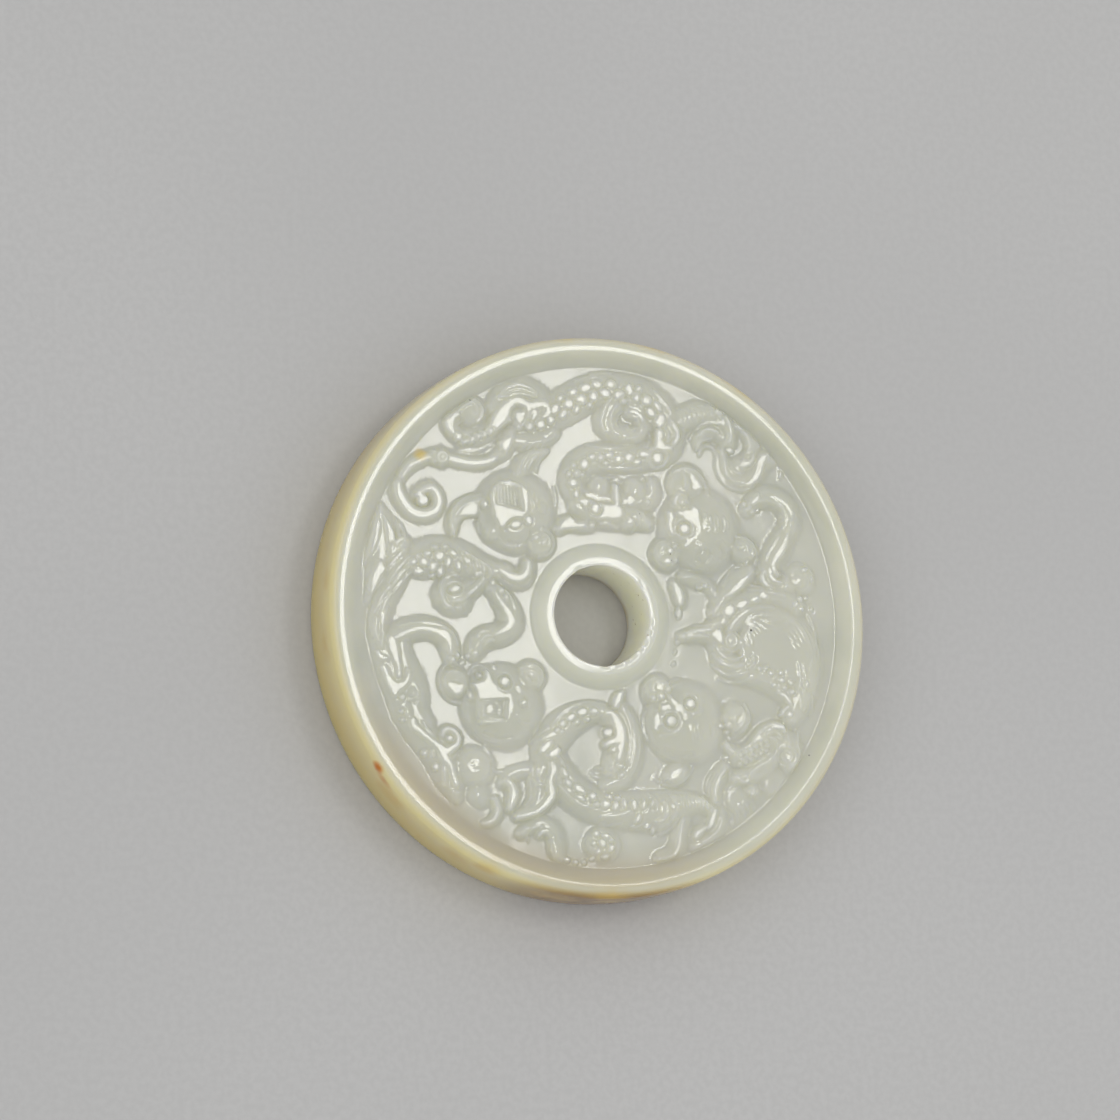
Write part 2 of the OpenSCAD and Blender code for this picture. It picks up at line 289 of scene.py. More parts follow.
def eye(x, y, r, h=0.12, socket=0.34):
    """A flat round eye in its sunk ring, with a thin raised lid round that."""
    cut(0.13, 0.06, *ring(x, y, r + 0.5 * socket), foot=0.5 * socket)
    beads(h, [(x, y, r, 0.94 * r, 0)], moat=0.1)
    line(0.05, 0.03, *ring(x, y, r + socket + 0.16), foot=0.12)


def head_one():
    """Round head at the upper left: a cushion with a flat forehead and a hatched lozenge."""
    boss(-8.75, 10.3, 4.6, 0.26, foot=1.2, rise=0.58)
    boss(-11.2, 8.3, 1.4, 0.42, foot=0.7, rise=0.25)
    mound(0.55, [(-12.0, 11.4, 0.7), (-13.3, 11.0, 1.0), (-14.6, 10.2, 1.05), (-15.3, 8.9, 0.8), (-15.3, 7.9, 0.3)], 1.3)
    line(0.12, 0.08, (-12.5, 11.95), (-13.6, 11.7), (-14.7, 11.0), (-15.4, 9.9), (-15.5, 8.9), (-15.3, 8.0), foot=0.2)
    plate(0.46, 0.22, [(-12.7, 11.1), (-13.6, 11.05), (-14.4, 10.5), (-14.95, 9.75), (-14.2, 9.75), (-13.0, 9.8), (-12.6, 10.2)])
    cut(0.12, 0.12, (-12.7, 9.5), (-13.8, 9.35), (-14.6, 8.8), foot=0.2)
    line(0.07, 0.05, (-12.55, 9.3), (-12.5, 8.7), (-12.45, 8.1))
    mound(0.42, [(-8.3, 14.2, 1.0), (-7.7, 15.2, 1.15), (-6.6, 16.1, 0.9), (-5.4, 16.7, 0.4)], 1.3)
    line(0.1, 0.06, (-8.2, 14.7), (-8.0, 15.4), (-7.3, 16.2), (-6.4, 16.75))
    line(0.09, 0.05, (-7.7, 14.7), (-7.4, 15.5), (-6.8, 16.2), (-6.1, 16.5))
    line(0.09, 0.05, (-7.2, 14.8), (-6.9, 15.5), (-6.4, 16.0))
    line(0.1, 0.07, (-6.35, 14.6), (-6.25, 15.3), (-5.8, 16.1), (-5.1, 16.7), foot=0.2)
    line(0.07, 0.07, (-8.9, 14.3), (-8.4, 14.1))
    plate(0.79, 0.16, [(-11.45, 11.9), (-11.1, 12.8), (-10.35, 13.35), (-9.4, 13.5), (-8.1, 13.0), (-7.5, 12.5),
                       (-7.45, 11.7), (-7.5, 10.8), (-7.75, 10.15), (-8.5, 9.85), (-9.2, 9.6), (-9.75, 9.1),
                       (-10.2, 8.7), (-10.6, 8.8), (-10.85, 9.4), (-11.15, 9.9), (-11.35, 11.2)], tilt=(0.01, -0.01))
    for a, b in (((-10.9, 13.15), (-10.85, 11.15)), ((-10.85, 11.15), (-8.05, 10.45)), ((-8.05, 10.45), (-8.35, 12.9)),
                 ((-8.35, 12.9), (-10.9, 13.15))):
        cut(0.05, 0.03, a, b, foot=0.08, ends=(1, 1))
    plate(0.72, 0.1, [(-10.75, 13.0), (-8.5, 12.75), (-8.2, 10.65), (-10.7, 11.25)], tilt=(-0.1, 0.04))
    hatch(0.05, 0.04, [(-10.6, 12.9), (-8.6, 12.7), (-8.3, 10.8), (-10.6, 11.4)], 6)
    hatch(0.04, 0.04, [(-10.6, 12.7), (-10.6, 11.6), (-8.5, 11.1), (-8.7, 12.5)], 4)
    cut(0.12, 0.06, (-9.95, 8.5), (-9.6, 9.15), (-8.9, 9.55), (-8.2, 9.55), (-7.9, 9.1), foot=0.16)
    beads(0.11, [(-8.9, 9.0, 0.5, 0.3, 12), (-7.5, 9.45, 0.28, 0.36, 20), (-12.0, 11.0, 0.27, 0.27, 0)])
    line(0.08, 0.05, (-7.0, 12.3), (-7.1, 11.6), (-6.85, 11.0), (-7.05, 10.3), foot=0.12)
    line(0.05, 0.04, (-6.6, 11.9), (-6.5, 11.2), (-6.7, 10.7))
    cut(0.06, 0.06, *ring(-5.9, 10.8, 0.65), foot=0.2)
    cut(0.08, 0.06, (-9.6, 7.3), (-8.4, 7.1), (-7.6, 7.7), (-7.4, 8.4), foot=0.22)
    line(0.07, 0.05, (-10.6, 7.6), (-9.9, 7.0), (-8.8, 6.8))
    boss(-6.3, 7.25, 1.85, 0.52, foot=0.9, rise=0.26, point=1.0)
    line(0.12, 0.07, (-6.0, 8.7), (-5.1, 8.35), (-4.7, 7.6), (-4.85, 6.7), (-5.5, 6.05), (-6.4, 5.9), foot=0.16)
    line(0.08, 0.05, (-5.9, 8.2), (-5.35, 7.8), (-5.2, 7.2), (-5.4, 6.6), foot=0.12)
    beads(0.08, [(-6.75, 7.75, 0.3, 0.16, 10), (-5.85, 7.35, 0.36, 0.14, 45)])
    line(0.06, 0.05, (-4.6, 13.0), (-4.35, 12.0), (-4.4, 11.0))


def head_two():
    """Round head at the upper right."""
    boss(10.8, 9.0, 4.75, 0.26, foot=1.2, rise=0.58)
    boss(9.6, 13.7, 2.3, 0.42, foot=0.9, rise=0.22, point=1.0)
    line(0.13, 0.08, (8.0, 14.6), (8.7, 15.15), (9.7, 15.3), (10.7, 15.0), (11.5, 14.2), (11.85, 13.3), (11.9, 12.7), foot=0.2)
    line(0.08, 0.05, (9.25, 14.95), (9.45, 14.2), (9.35, 13.3))
    plate(0.5, 0.18, [(9.8, 14.8), (10.3, 14.65), (10.9, 14.1), (11.3, 13.4), (10.8, 13.2), (10.15, 13.15), (10.0, 14.0)], tilt=(0.05, 0.0))
    boss(8.9, 11.95, 1.25, 0.6, foot=0.5, rise=0.2)
    cut(0.1, 0.06, *ring(8.95, 11.9, 0.55, 40, 330), foot=0.16)
    beads(0.06, [(9.0, 11.75, 0.2, 0.2, 0)])
    plate(0.8, 0.13, [(8.3, 10.8), (8.5, 10.5), (9.2, 10.2), (9.7, 10.1), (10.05, 9.85), (10.2, 9.2), (10.15, 8.3), (10.45, 7.95),
                      (10.9, 8.8), (10.85, 10.0), (10.75, 11.0), (10.4, 11.35), (9.95, 11.45), (9.75, 11.0), (9.3, 11.1),
                      (8.9, 10.9), (8.6, 11.0)], tilt=(0.05, 0.0))
    plate(0.68, 0.16, [(7.4, 10.8), (7.85, 10.85), (8.1, 10.2), (7.9, 9.6), (7.9, 8.9), (8.2, 8.4), (7.7, 8.4), (7.35, 9.2)], tilt=(0.05, 0.0))
    eye(9.1, 9.1, 0.46)
    plate(0.78, 0.13, [(9.0, 7.15), (8.95, 7.5), (9.3, 8.0), (9.8, 8.25), (10.1, 8.0), (9.9, 7.6), (9.45, 7.25)], tilt=(0.05, 0.0))
    for a, b in (((10.35, 6.95), (11.0, 7.5)), ((10.5, 7.55), (11.0, 6.95)), ((10.6, 7.8), (11.1, 7.65))):
        line(0.07, 0.05, a, b)
    for x, y0, y1, lean in ((11.5, 10.7, 9.2, -0.1), (11.75, 10.4, 8.9, 0.1), (12.05, 10.3, 9.0, -0.1), (12.4, 10.6, 8.9, 0.1),
                            (12.8, 10.4, 9.2, -0.1), (13.65, 10.4, 8.9, -0.2), (13.95, 10.0, 9.2, -0.1)):
        line(0.06, 0.035, (x + lean, y0), (x, 0.5 * (y0 + y1)), (x + lean, y1))
    cut(0.08, 0.07, *ring(11.1, 6.3, 0.7), foot=0.2)
    line(0.07, 0.05, (10.4, 5.75), (11.0, 5.6), (11.7, 5.8), (12.1, 6.3), foot=0.16)
    line(0.05, 0.04, (9.6, 5.6), (10.4, 5.15), (11.6, 5.05))
    line(0.05, 0.04, (13.2, 7.9), (13.7, 7.0), (13.5, 6.1))
    cut(0.07, 0.08, (12.6, 7.7), (13.2, 6.9), (13.0, 6.1), foot=0.22)
    boss(7.2, 6.5, 1.9, 0.5, foot=0.8, rise=0.26)
    line(0.08, 0.05, *ring(7.25, 6.5, 1.35, 95, 265), foot=0.14)
    line(0.07, 0.05, *ring(7.35, 6.5, 0.95, 110, 250), foot=0.12)
    beads(0.1, [(7.5, 6.8, 0.3, 0.24, 60), (7.15, 5.75, 0.42, 0.3, 0), (8.15, 5.85, 0.16, 0.16, 0), (8.1, 7.3, 0.2, 0.14, 0)])
    boss(15.6, 7.1, 1.75, 0.45, foot=0.9, rise=0.26, point=1.0)
    line(0.11, 0.06, (14.9, 8.5), (15.9, 8.3), (16.7, 7.6), (17.05, 6.6), (16.8, 5.7), foot=0.18)
    line(0.08, 0.05, (15.0, 7.9), (15.7, 7.6), (16.0, 6.9))
    plate(0.56, 0.14, [(16.25, 7.4), (16.6, 7.2), (16.75, 6.6), (16.5, 6.4), (16.2, 6.8)], tilt=(0.05, 0.0))
    beads(0.07, [(15.3, 7.4, 0.2, 0.14, 0), (15.9, 5.9, 0.25, 0.14, 60)])


def head_three():
    """Round head at the lower left."""
    boss(-10.7, -9.2, 4.65, 0.26, foot=1.2, rise=0.58)
    plate(0.79, 0.15, [(-12.35, -5.65), (-12.05, -5.9), (-11.8, -6.6), (-11.4, -7.2), (-10.8, -7.65), (-10, -7.85),
                       (-9.65, -8.15), (-9.75, -9.0), (-9.9, -10.5), (-10.5, -10.9), (-13.1, -11.1), (-13.3, -10.2),
                       (-13.2, -8.6), (-13.45, -7.7), (-13.8, -7.1), (-13.2, -6.95), (-12.65, -6.7), (-12.5, -6.2)])
    for a, b in (((-13.05, -8.8), (-10.2, -8.65)), ((-10.2, -8.65), (-10.45, -10.7)), ((-10.45, -10.7), (-13.1, -10.75)),
                 ((-13.1, -10.75), (-13.05, -8.8))):
        cut(0.06, 0.03, a, b, foot=0.09, ends=(1, 1))
    plate(0.72, 0.1, [(-12.95, -8.85), (-10.35, -8.7), (-10.6, -10.45), (-13.0, -10.55)], tilt=(-0.1, 0.02))
    plate(0.74, 0.1, [(-12.6, -9.2), (-11.6, -9.1), (-11.6, -10.0), (-12.6, -10.05)], tilt=(0.0, 0.0))
    line(0.04, 0.06, (-12.8, -10.35), (-11.0, -10.3), foot=0.1)
    line(0.04, 0.05, (-11.2, -9.0), (-10.9, -9.6), (-11.0, -10.1), foot=0.1)
    cut(0.1, 0.06, *ring(-12.95, -6.25, 0.42), foot=0.14)
    beads(0.08, [(-12.95, -6.25, 0.2, 0.2, 0), (-11.4, -5.4, 0.2, 0.2, 0)])
    line(0.1, 0.06, (-14.0, -6.1), (-13.7, -5.5), (-13.0, -5.2), (-12.4, -5.35), (-11.9, -5.8), foot=0.16)
    eye(-10.4, -6.85, 0.46)
    plate(0.66, 0.14, [(-9.5, -7.4), (-8.8, -7.15), (-8.55, -7.9), (-9.1, -7.95)])
    cut(0.07, 0.06, *ring(-8.5, -8.9, 0.55), foot=0.16)
    beads(0.05, [(-8.5, -8.9, 0.25, 0.22, 0)])
    line(0.06, 0.05, (-9.2, -10.2), (-8.6, -10.9), (-7.8, -10.8))
    cut(0.07, 0.08, (-12.6, -12.0), (-11.2, -12.5), (-9.8, -12.3), foot=0.22)
    line(0.05, 0.04, (-13.6, -11.8), (-12.6, -12.6), (-11.0, -12.95))
    boss(-15.5, -7.0, 1.9, 0.48, foot=0.9, rise=0.22, point=1.0)
    line(0.11, 0.06, (-14.7, -5.3), (-15.8, -5.0), (-16.6, -5.5), (-17.0, -6.6), (-16.8, -7.8), (-16.1, -8.7), (-15.0, -9.0), foot=0.2)
    line(0.07, 0.05, (-15.2, -5.9), (-16.1, -6.0), (-16.6, -6.7))
    plate(0.56, 0.14, [(-16.3, -6.9), (-15.5, -7.0), (-14.75, -7.15), (-14.8, -8.0), (-15.3, -8.3), (-15.8, -8.0), (-16.2, -7.4)])
    beads(0.1, [(-14.0, -8.25, 0.22, 0.36, 0), (-13.4, -4.0, 0.25, 0.2, 0), (-15.2, -4.3, 0.24, 0.22, 0),
                (-15.75, -4.7, 0.24, 0.2, 30), (-14.6, -4.9, 0.24, 0.2, 0), (-14.1, -4.3, 0.2, 0.2, 0)])
    boss(-7.6, -6.2, 1.8, 0.46, foot=0.8, rise=0.22, point=1.0)
    line(0.1, 0.06, (-8.7, -5.45), (-7.9, -5.15), (-7.0, -5.2), (-6.45, -5.7), (-6.35, -6.6), (-6.75, -7.4), foot=0.16)
    line(0.08, 0.05, (-8.3, -5.8), (-7.5, -5.7), (-7.0, -6.0), (-6.9, -6.7))
    cut(0.08, 0.08, (-7.9, -6.3), (-7.5, -6.7), foot=0.18)


def head_four():
    """Round head at the lower right."""
    boss(8.6, -10.6, 4.7, 0.26, foot=1.2, rise=0.58)
    boss(5.9, -7.5, 2.0, 0.5, foot=0.9, rise=0.22)
    line(0.08, 0.05, (4.5, -8.6), (4.3, -7.7), (4.7, -6.7), (5.6, -6.1), foot=0.18)
    plate(0.62, 0.12, [(5.55, -6.7), (6.3, -6.7), (6.25, -7.4), (5.5, -7.35)], tilt=(0.04, 0.0))
    beads(0.11, [(6.9, -7.25, 0.26, 0.2, 30), (6.1, -8.0, 0.28, 0.26, 0), (5.3, -8.2, 0.2, 0.18, 0)])
    for a, b, c in (((7.0, -6.8), (7.6, -6.3), (8.3, -6.2)), ((7.2, -7.1), (7.8, -6.75), (8.4, -6.7))):
        line(0.07, 0.05, a, b, c)
    plate(0.78, 0.13, [(6.65, -7.75), (7.0, -8.5), (7.3, -9.0), (7.85, -9.5), (8.2, -10.0), (8.15, -10.5), (8.5, -10.3), (8.65, -9.8),
                       (8.5, -9.2), (7.9, -8.6), (7.35, -8.2), (7.1, -7.85)], tilt=(0.04, 0.0))
    plate(0.66, 0.22, [(6.1, -8.9), (6.9, -8.8), (7.2, -9.3), (6.6, -9.5), (6.1, -9.4)], tilt=(0.04, 0.0))
    eye(7.1, -10.5, 0.5)
    line(0.1, 0.09, (6.1, -12.0), (6.9, -11.85), (7.6, -11.55), (8.1, -11.1), (8.3, -10.6), foot=0.14)
    eye(9.2, -8.7, 0.46, h=0.1)
    line(0.07, 0.05, (10.35, -8.0), (10.45, -8.8), (10.1, -9.5), (9.4, -9.8))
    plate(0.66, 0.15, [(5.2, -10.2), (5.6, -9.55), (6.0, -9.9), (5.95, -11.0), (5.55, -11.6), (5.2, -11.3)], tilt=(0.04, 0.0))
    line(0.08, 0.05, (4.6, -9.5), (4.25, -10.3), (4.3, -11.4), (4.7, -12.5), foot=0.16)
    for x, y0, y1 in ((9.2, -10.9, -12.4), (9.55, -11.2, -12.1), (9.9, -10.9, -12.3), (10.2, -11.3, -12.0), (11.4, -10.8, -11.9),
                      (11.7, -10.9, -11.6)):
        line(0.055, 0.035, (x, y0), (x + 0.06, y1))
    cut(0.07, 0.08, (6.6, -13.4), (7.9, -13.9), (9.4, -13.8), foot=0.25)
    line(0.05, 0.04, (5.4, -13.2), (6.6, -14.1), (8.2, -14.5))
    boss(14.2, -10.1, 1.9, 0.42, foot=0.9, rise=0.22, point=1.0)
    line(0.11, 0.06, (15.2, -8.5), (15.65, -9.5), (15.5, -10.6), (14.8, -11.5), (13.8, -12.0), foot=0.18)
    line(0.08, 0.05, (14.8, -8.9), (15.1, -9.8), (14.8, -10.7), (14.0, -11.4), foot=0.14)
    plate(0.52, 0.12, [(14.2, -10.5), (14.25, -9.95), (14.75, -9.55), (14.95, -9.8), (14.6, -10.3)], tilt=(0.04, 0.0))
    beads(0.09, [(12.6, -10.85, 0.28, 0.2, 0), (13.3, -10.8, 0.25, 0.2, 0), (13.2, -11.5, 0.2, 0.16, 0)])
    boss(7.7, -15.8, 1.75, 0.4, foot=0.9, rise=0.06, squash=0.75, turn=30)
    plate(0.46, 0.13, [(6.5, -16.4), (7.0, -16.05), (7.2, -15.45), (8.2, -15.15), (8.45, -15.55), (7.9, -16.15), (7.1, -16.5)], tilt=(0.04, 0.0))
    line(0.1, 0.06, (6.1, -16.85), (7.4, -16.95), (8.7, -16.2), (9.4, -15.1), foot=0.16)
    beads(0.08, [(5.7, -16.5, 0.2, 0.16, 0), (5.3, -16.2, 0.2, 0.14, 40)])


def top_beast():
    """Long scaled beast along the top, its neck and face under it, its tail to the left."""
    mound(0.55, [(-1.9, 11.6, 1.0), (-2.3, 12.6, 1.4), (-2.45, 13.8, 1.55), (-1.7, 15.2, 1.65), (0.4, 16.1, 1.6),
                 (3.4, 16.2, 1.55), (5.4, 16.5, 1.5), (7.0, 17.0, 1.7), (7.9, 18.6, 1.8), (7.2, 20.6, 2.0),
                 (4.9, 22.4, 2.1), (1.8, 23.0, 2.0), (-1.1, 22.4, 1.9), (-3.9, 20.9, 1.9), (-6.9, 19.6, 1.6)])
    beads(0.12, [(-2.3, 12.35, 0.4, 0.24, 90), (-2.6, 13.45, 0.38, 0.36, 0), (-3.0, 14.35, 0.18, 0.18, 0),
                 (-2.1, 14.45, 0.34, 0.32, 0), (-2.45, 15.25, 0.2, 0.18, 0), (-1.35, 15.4, 0.5, 0.38, 70),
                 (-0.5, 16.15, 0.38, 0.24, 20), (0.45, 16.15, 0.32, 0.3, 0), (1.35, 16.4, 0.42, 0.26, 0),
                 (2.35, 16.05, 0.46, 0.34, 0), (3.45, 16.25, 0.46, 0.38, 0), (4.3, 15.8, 0.4, 0.22, 10),
                 (5.0, 16.65, 0.46, 0.3, 0), (-1.6, 14.3, 0.2, 0.16, 0), (1.0, 15.6, 0.24, 0.16, 0)])
    line(0.08, 0.06, (0.2, 15.2), (1.8, 15.1), (3.5, 15.15), (4.8, 15.2))
    line(0.08, 0.06, (-1.0, 17.3), (0.6, 17.2), (2.4, 17.2), (4.2, 17.4), foot=0.16)
    beads(0.14, [(6.5, 16.3, 0.54, 0.5, 0)])
    line(0.13, 0.15, *ring(6.5, 16.3, 0.98, 50, 350), foot=0.14)
    line(0.1, 0.08, (7.5, 16.9), (7.6, 16.3), (7.3, 15.7), (6.7, 15.4))
    # haunch on the right
    plate(0.72, 0.2, [(6.45, 19.2), (6.95, 19.35), (7.2, 18.9), (7.15, 18.2), (7.3, 17.75), (8.1, 17.5), (8.1, 17.1), (7.2, 17.0),
                      (6.2, 17.2), (6.3, 17.9), (6.35, 18.6)])
    plate(0.7, 0.18, [(8.0, 20.2), (8.55, 19.9), (8.95, 19.2), (9.0, 18.5), (8.7, 17.9), (8.3, 17.55), (8.1, 17.9), (8.45, 18.5),
                      (8.4, 19.1), (8.05, 19.6)])
    line(0.1, 0.08, (7.35, 19.4), (7.7, 18.9), (7.7, 18.3), (7.5, 18.0), foot=0.12)
    line(0.08, 0.06, (5.5, 17.4), (5.9, 18.1), (5.9, 18.9))
    line(0.07, 0.06, (9.2, 20.4), (9.5, 19.5), (9.45, 18.5), (9.1, 17.7), foot=0.16)
    beads(0.13, [(6.9, 20.15, 0.68, 0.5, 75), (6.65, 21.6, 0.55, 0.28, 120), (5.95, 20.95, 0.5, 0.38, 130),
                 (5.5, 22.2, 0.5, 0.46, 0), (4.4, 22.5, 0.5, 0.34, 100), (4.75, 23.35, 0.3, 0.24, 0),
                 (3.65, 23.2, 0.56, 0.38, 95), (2.6, 22.65, 0.52, 0.42, 10), (1.75, 23.7, 0.46, 0.42, 0),
                 (1.05, 22.75, 0.54, 0.38, 160), (0.2, 23.6, 0.5, 0.34, 0), (-0.2, 22.4, 0.5, 0.38, 90),
                 (-1.0, 23.2, 0.54, 0.4, 20), (-1.5, 22.0, 0.55, 0.46, 0), (-2.0, 21.05, 0.42, 0.26, 60),
                 (-2.35, 22.75, 0.42, 0.3, 20), (-2.9, 21.5, 0.46, 0.44, 0), (-3.45, 20.45, 0.46, 0.3, 60),
                 (-4.35, 20.9, 0.5, 0.36, 60), (-4.8, 19.8, 0.34, 0.32, 0), (-5.9, 19.3, 0.42, 0.4, 0),
                 (-7.1, 19.1, 0.36, 0.34, 0), (-3.7, 22.1, 0.3, 0.24, 30), (3.1, 22.0, 0.3, 0.2, 0),
                 (-0.6, 21.5, 0.28, 0.22, 60)])
    # curl under the arch
    mound(0.5, [(2.6, 22.0, 1.0), (1.4, 20.9, 1.4), (1.4, 19.4, 1.4), (2.6, 18.6, 1.2), (4.0, 18.5, 1.1)])
    mound(0.42, [(4.6, 18.6, 1.0), (5.2, 19.6, 1.0), (4.8, 20.7, 1.0), (3.8, 21.0, 0.9)])
    line(0.12, 0.13, (1.9, 22.3), (1.3, 21.7), (0.85, 20.8), (0.65, 19.8), (0.75, 19.2), (1.05, 18.8), foot=0.16)
    line(0.1, 0.1, (2.3, 21.5), (1.7, 20.6), (1.6, 19.8), (1.9, 18.95), (2.5, 18.5), foot=0.14)
    line(0.08, 0.07, (3.0, 21.0), (2.4, 20.4), (2.2, 19.8), (2.4, 19.3), foot=0.12)
    line(0.06, 0.12, (3.7, 20.5), (4.5, 20.3), (4.95, 19.6), (4.8, 18.9), (4.2, 18.4), (3.3, 18.2), foot=0.14)
    line(0.09, 0.08, (3.5, 19.6), (3.6, 19.15), (4.0, 19.05), (4.3, 19.3), foot=0.12)
    line(0.09, 0.07, (-2, 23.95), (-0.9, 24.3), (0.3, 24.5))
    line(0.09, 0.06, (-0.4, 24.65), (0.8, 24.8), (2, 24.85))
    line(0.09, 0.07, (6.3, 23.3), (7.2, 22.4), (7.9, 21.5), (8.2, 20.8))
    # face
    mound(0.52, [(-2.3, 11.2, 0.9), (-1.2, 10.6, 1.4), (0.6, 10.4, 1.6), (2.6, 10.4, 1.7), (4.2, 10.1, 1.3), (5.3, 9.6, 0.8)])
    plate(0.64, 0.2, [(-2.15, 11.65), (-1.65, 11.3), (-1.3, 10.75), (-0.85, 10.2), (-0.1, 9.85), (0.5, 9.9), (1.5, 9.85),
                      (2.3, 9.95), (2.65, 10.4), (2.6, 11.0), (2.05, 11.4), (0.9, 11.35), (0.2, 11.45), (-0.6, 11.7), (-1.5, 11.95)])
    cut(0.13, 0.09, *ring(-0.35, 10.9, 0.68))
    beads(0.1, [(-0.35, 10.9, 0.42, 0.4, 0)], moat=0.2)
    mound(0.36, [(-1.3, 12.6, 1.0), (0.0, 12.0, 1.1), (2.0, 12.0, 1.3), (4.0, 11.7, 1.3), (5.7, 12.3, 1.1), (5.9, 13.6, 0.8)])
    boss(0.2, 13.2, 1.5, 0.34, foot=0.7, rise=0.16, point=0.7)
    boss(4.1, 12.9, 1.6, 0.32, foot=0.8, rise=0.2, point=0.8)
    beads(0.1, [(5.4, 11.75, 0.18, 0.16, 0), (5.0, 14.2, 0.2, 0.16, 0)])
    band(0.66, 0.35, [(1.95, 13.2, 0.1), (1.98, 12.3, 0.15), (2.0, 11.5, 0.17)])
    line(0.08, 0.07, (0.9, 14.1), (1.8, 14.2), (2.7, 13.9), foot=0.14)
    line(0.12, 0.13, (0.3, 9.35), (1.1, 9.45), (2.0, 9.0), foot=0.14)
    boss(3.2, 9.6, 1.1, 0.36, foot=0.6, rise=0.24)
    line(0.09, 0.07, (3.0, 10.2), (3.5, 9.9), (3.6, 9.3), foot=0.12)
    line(0.1, 0.09, (4.1, 10.7), (4.35, 10.1), (4.2, 9.4), (3.6, 8.7), foot=0.14)
    line(0.08, 0.07, (4.8, 10.6), (4.95, 9.9), (4.7, 9.2), foot=0.14)
    mound(0.4, [(-4.2, 8.8, 0.7), (-3.2, 9.4, 0.9), (-1.9, 9.2, 0.8), (-0.8, 9.2, 0.7)])
    plate(0.5, 0.16, [(-4.3, 8.6), (-4.1, 9.2), (-3.55, 9.8), (-2.95, 10.1), (-2.55, 9.7), (-2.2, 9.4), (-1.4, 9.5), (-1.25, 9.05),
                      (-2.0, 8.85), (-3.2, 8.75)])
    beads(0.1, [(-0.6, 9.25, 0.26, 0.18, 20)])
    # haunch and tail
    plate(0.62, 0.3, [(-11.55, 18.25), (-11.1, 19.0), (-10.85, 19.8), (-10.55, 20.55), (-10.0, 20.75), (-9.6, 21.25), (-9.0, 21.6),
                      (-8.7, 21.2), (-9.15, 20.8), (-9.3, 20.2), (-9.0, 19.6), (-9.6, 19.3), (-10.2, 18.85), (-10.9, 18.45)])
    band(0.64, 0.5, [(-11.4, 18.4, 0.16), (-10.9, 18.9, 0.3), (-10.3, 19.7, 0.5), (-9.8, 20.4, 0.5), (-9.4, 21.0, 0.36),
                     (-8.8, 21.5, 0.32), (-8.1, 21.65, 0.3), (-7.5, 21.4, 0.28), (-6.8, 21.2, 0.28), (-6, 21.35, 0.28),
                     (-5.4, 21.35, 0.24), (-5.1, 21, 0.22), (-5.2, 20.4, 0.22), (-5.6, 20.1, 0.12)])
    band(0.62, 0.45, [(-7.1, 21, 0.2), (-7.3, 20.4, 0.22), (-7.9, 19.6, 0.22), (-8.2, 19, 0.1)])
    band(0.6, 0.4, [(-6.5, 20.9, 0.18), (-6.5, 20.3, 0.22), (-6.7, 19.9, 0.12)])
    mound(0.42, [(-8.2, 20.1, 1.5), (-7.6, 19.4, 1.3)])
    plate(0.54, 0.2, [(-8.65, 20.45), (-8.0, 20.65), (-7.4, 20.5), (-7.5, 20.0), (-7.95, 19.1), (-8.3, 19.35), (-8.6, 19.9)])
    for s in range(3):
        k = 0.42 * s
        line(0.12, 0.09, (-10.4 + 0.35 * s, 21.9 + 0.05 * s), (-9.3, 22.95 - k), (-8.2, 23.35 - k * 1.1), (-7.1, 23.1 - k),
             (-6.3, 22.6 - 0.5 * k), foot=0.14)
    mound(0.42, [(-10.6, 21.0, 1.0), (-9.4, 22.2, 1.4), (-7.8, 22.7, 1.6), (-6.3, 22.3, 1.3), (-5.2, 21.6, 1.0)])
    mound(0.5, [(-11.2, 18.5, 1.0), (-12.6, 17.9, 1.1), (-14.1, 17.8, 1.05), (-15.15, 18.6, 0.95), (-15.1, 19.8, 0.95),
                (-14.2, 20.8, 0.8), (-12.9, 21.5, 0.5)])
    beads(0.12, [(-11.4, 18.4, 0.36, 0.3, 20), (-12.05, 18.1, 0.36, 0.3, 20), (-12.7, 17.8, 0.36, 0.3, 20),
                 (-13.35, 17.5, 0.36, 0.28, 20), (-14.0, 17.35, 0.28, 0.24, 20), (-14.65, 17.8, 0.36, 0.34, 0)])
    boss(-13.1, 20.3, 1.9, 0.34, foot=0.9, rise=0.24, point=1.0)
    band(0.64, 0.38, [(-15.2, 18.2, 0.14), (-15.5, 18.8, 0.34), (-15.45, 19.4, 0.36), (-15.1, 19.85, 0.24), (-14.6, 20.0, 0.1)])
    line(0.08, 0.07, *ring(-13.2, 20.4, 1.25, -60, 150), foot=0.16)
    line(0.08, 0.07, *ring(-13.2, 20.6, 0.7, -80, 120), foot=0.14)
    line(0.09, 0.07, (-14.6, 20.3), (-13.9, 21.0), (-13.1, 21.4))
    line(0.07, 0.06, (-14.9, 18.6), (-14.7, 19.0), (-14.2, 19.3), foot=0.14)
    mound(0.4, [(-9.0, 17.7, 0.9), (-7.4, 17.6, 1.1), (-5.9, 17.9, 1.1), (-4.6, 18.6, 0.9)])
    for k in range(4):
        line(0.07, 0.06, (-8.0 + 0.7 * k, 16.6 + 0.15 * k), (-7.5 + 0.7 * k, 17.2 + 0.15 * k), (-6.7 + 0.7 * k, 17.5 + 0.15 * k), foot=0.13)
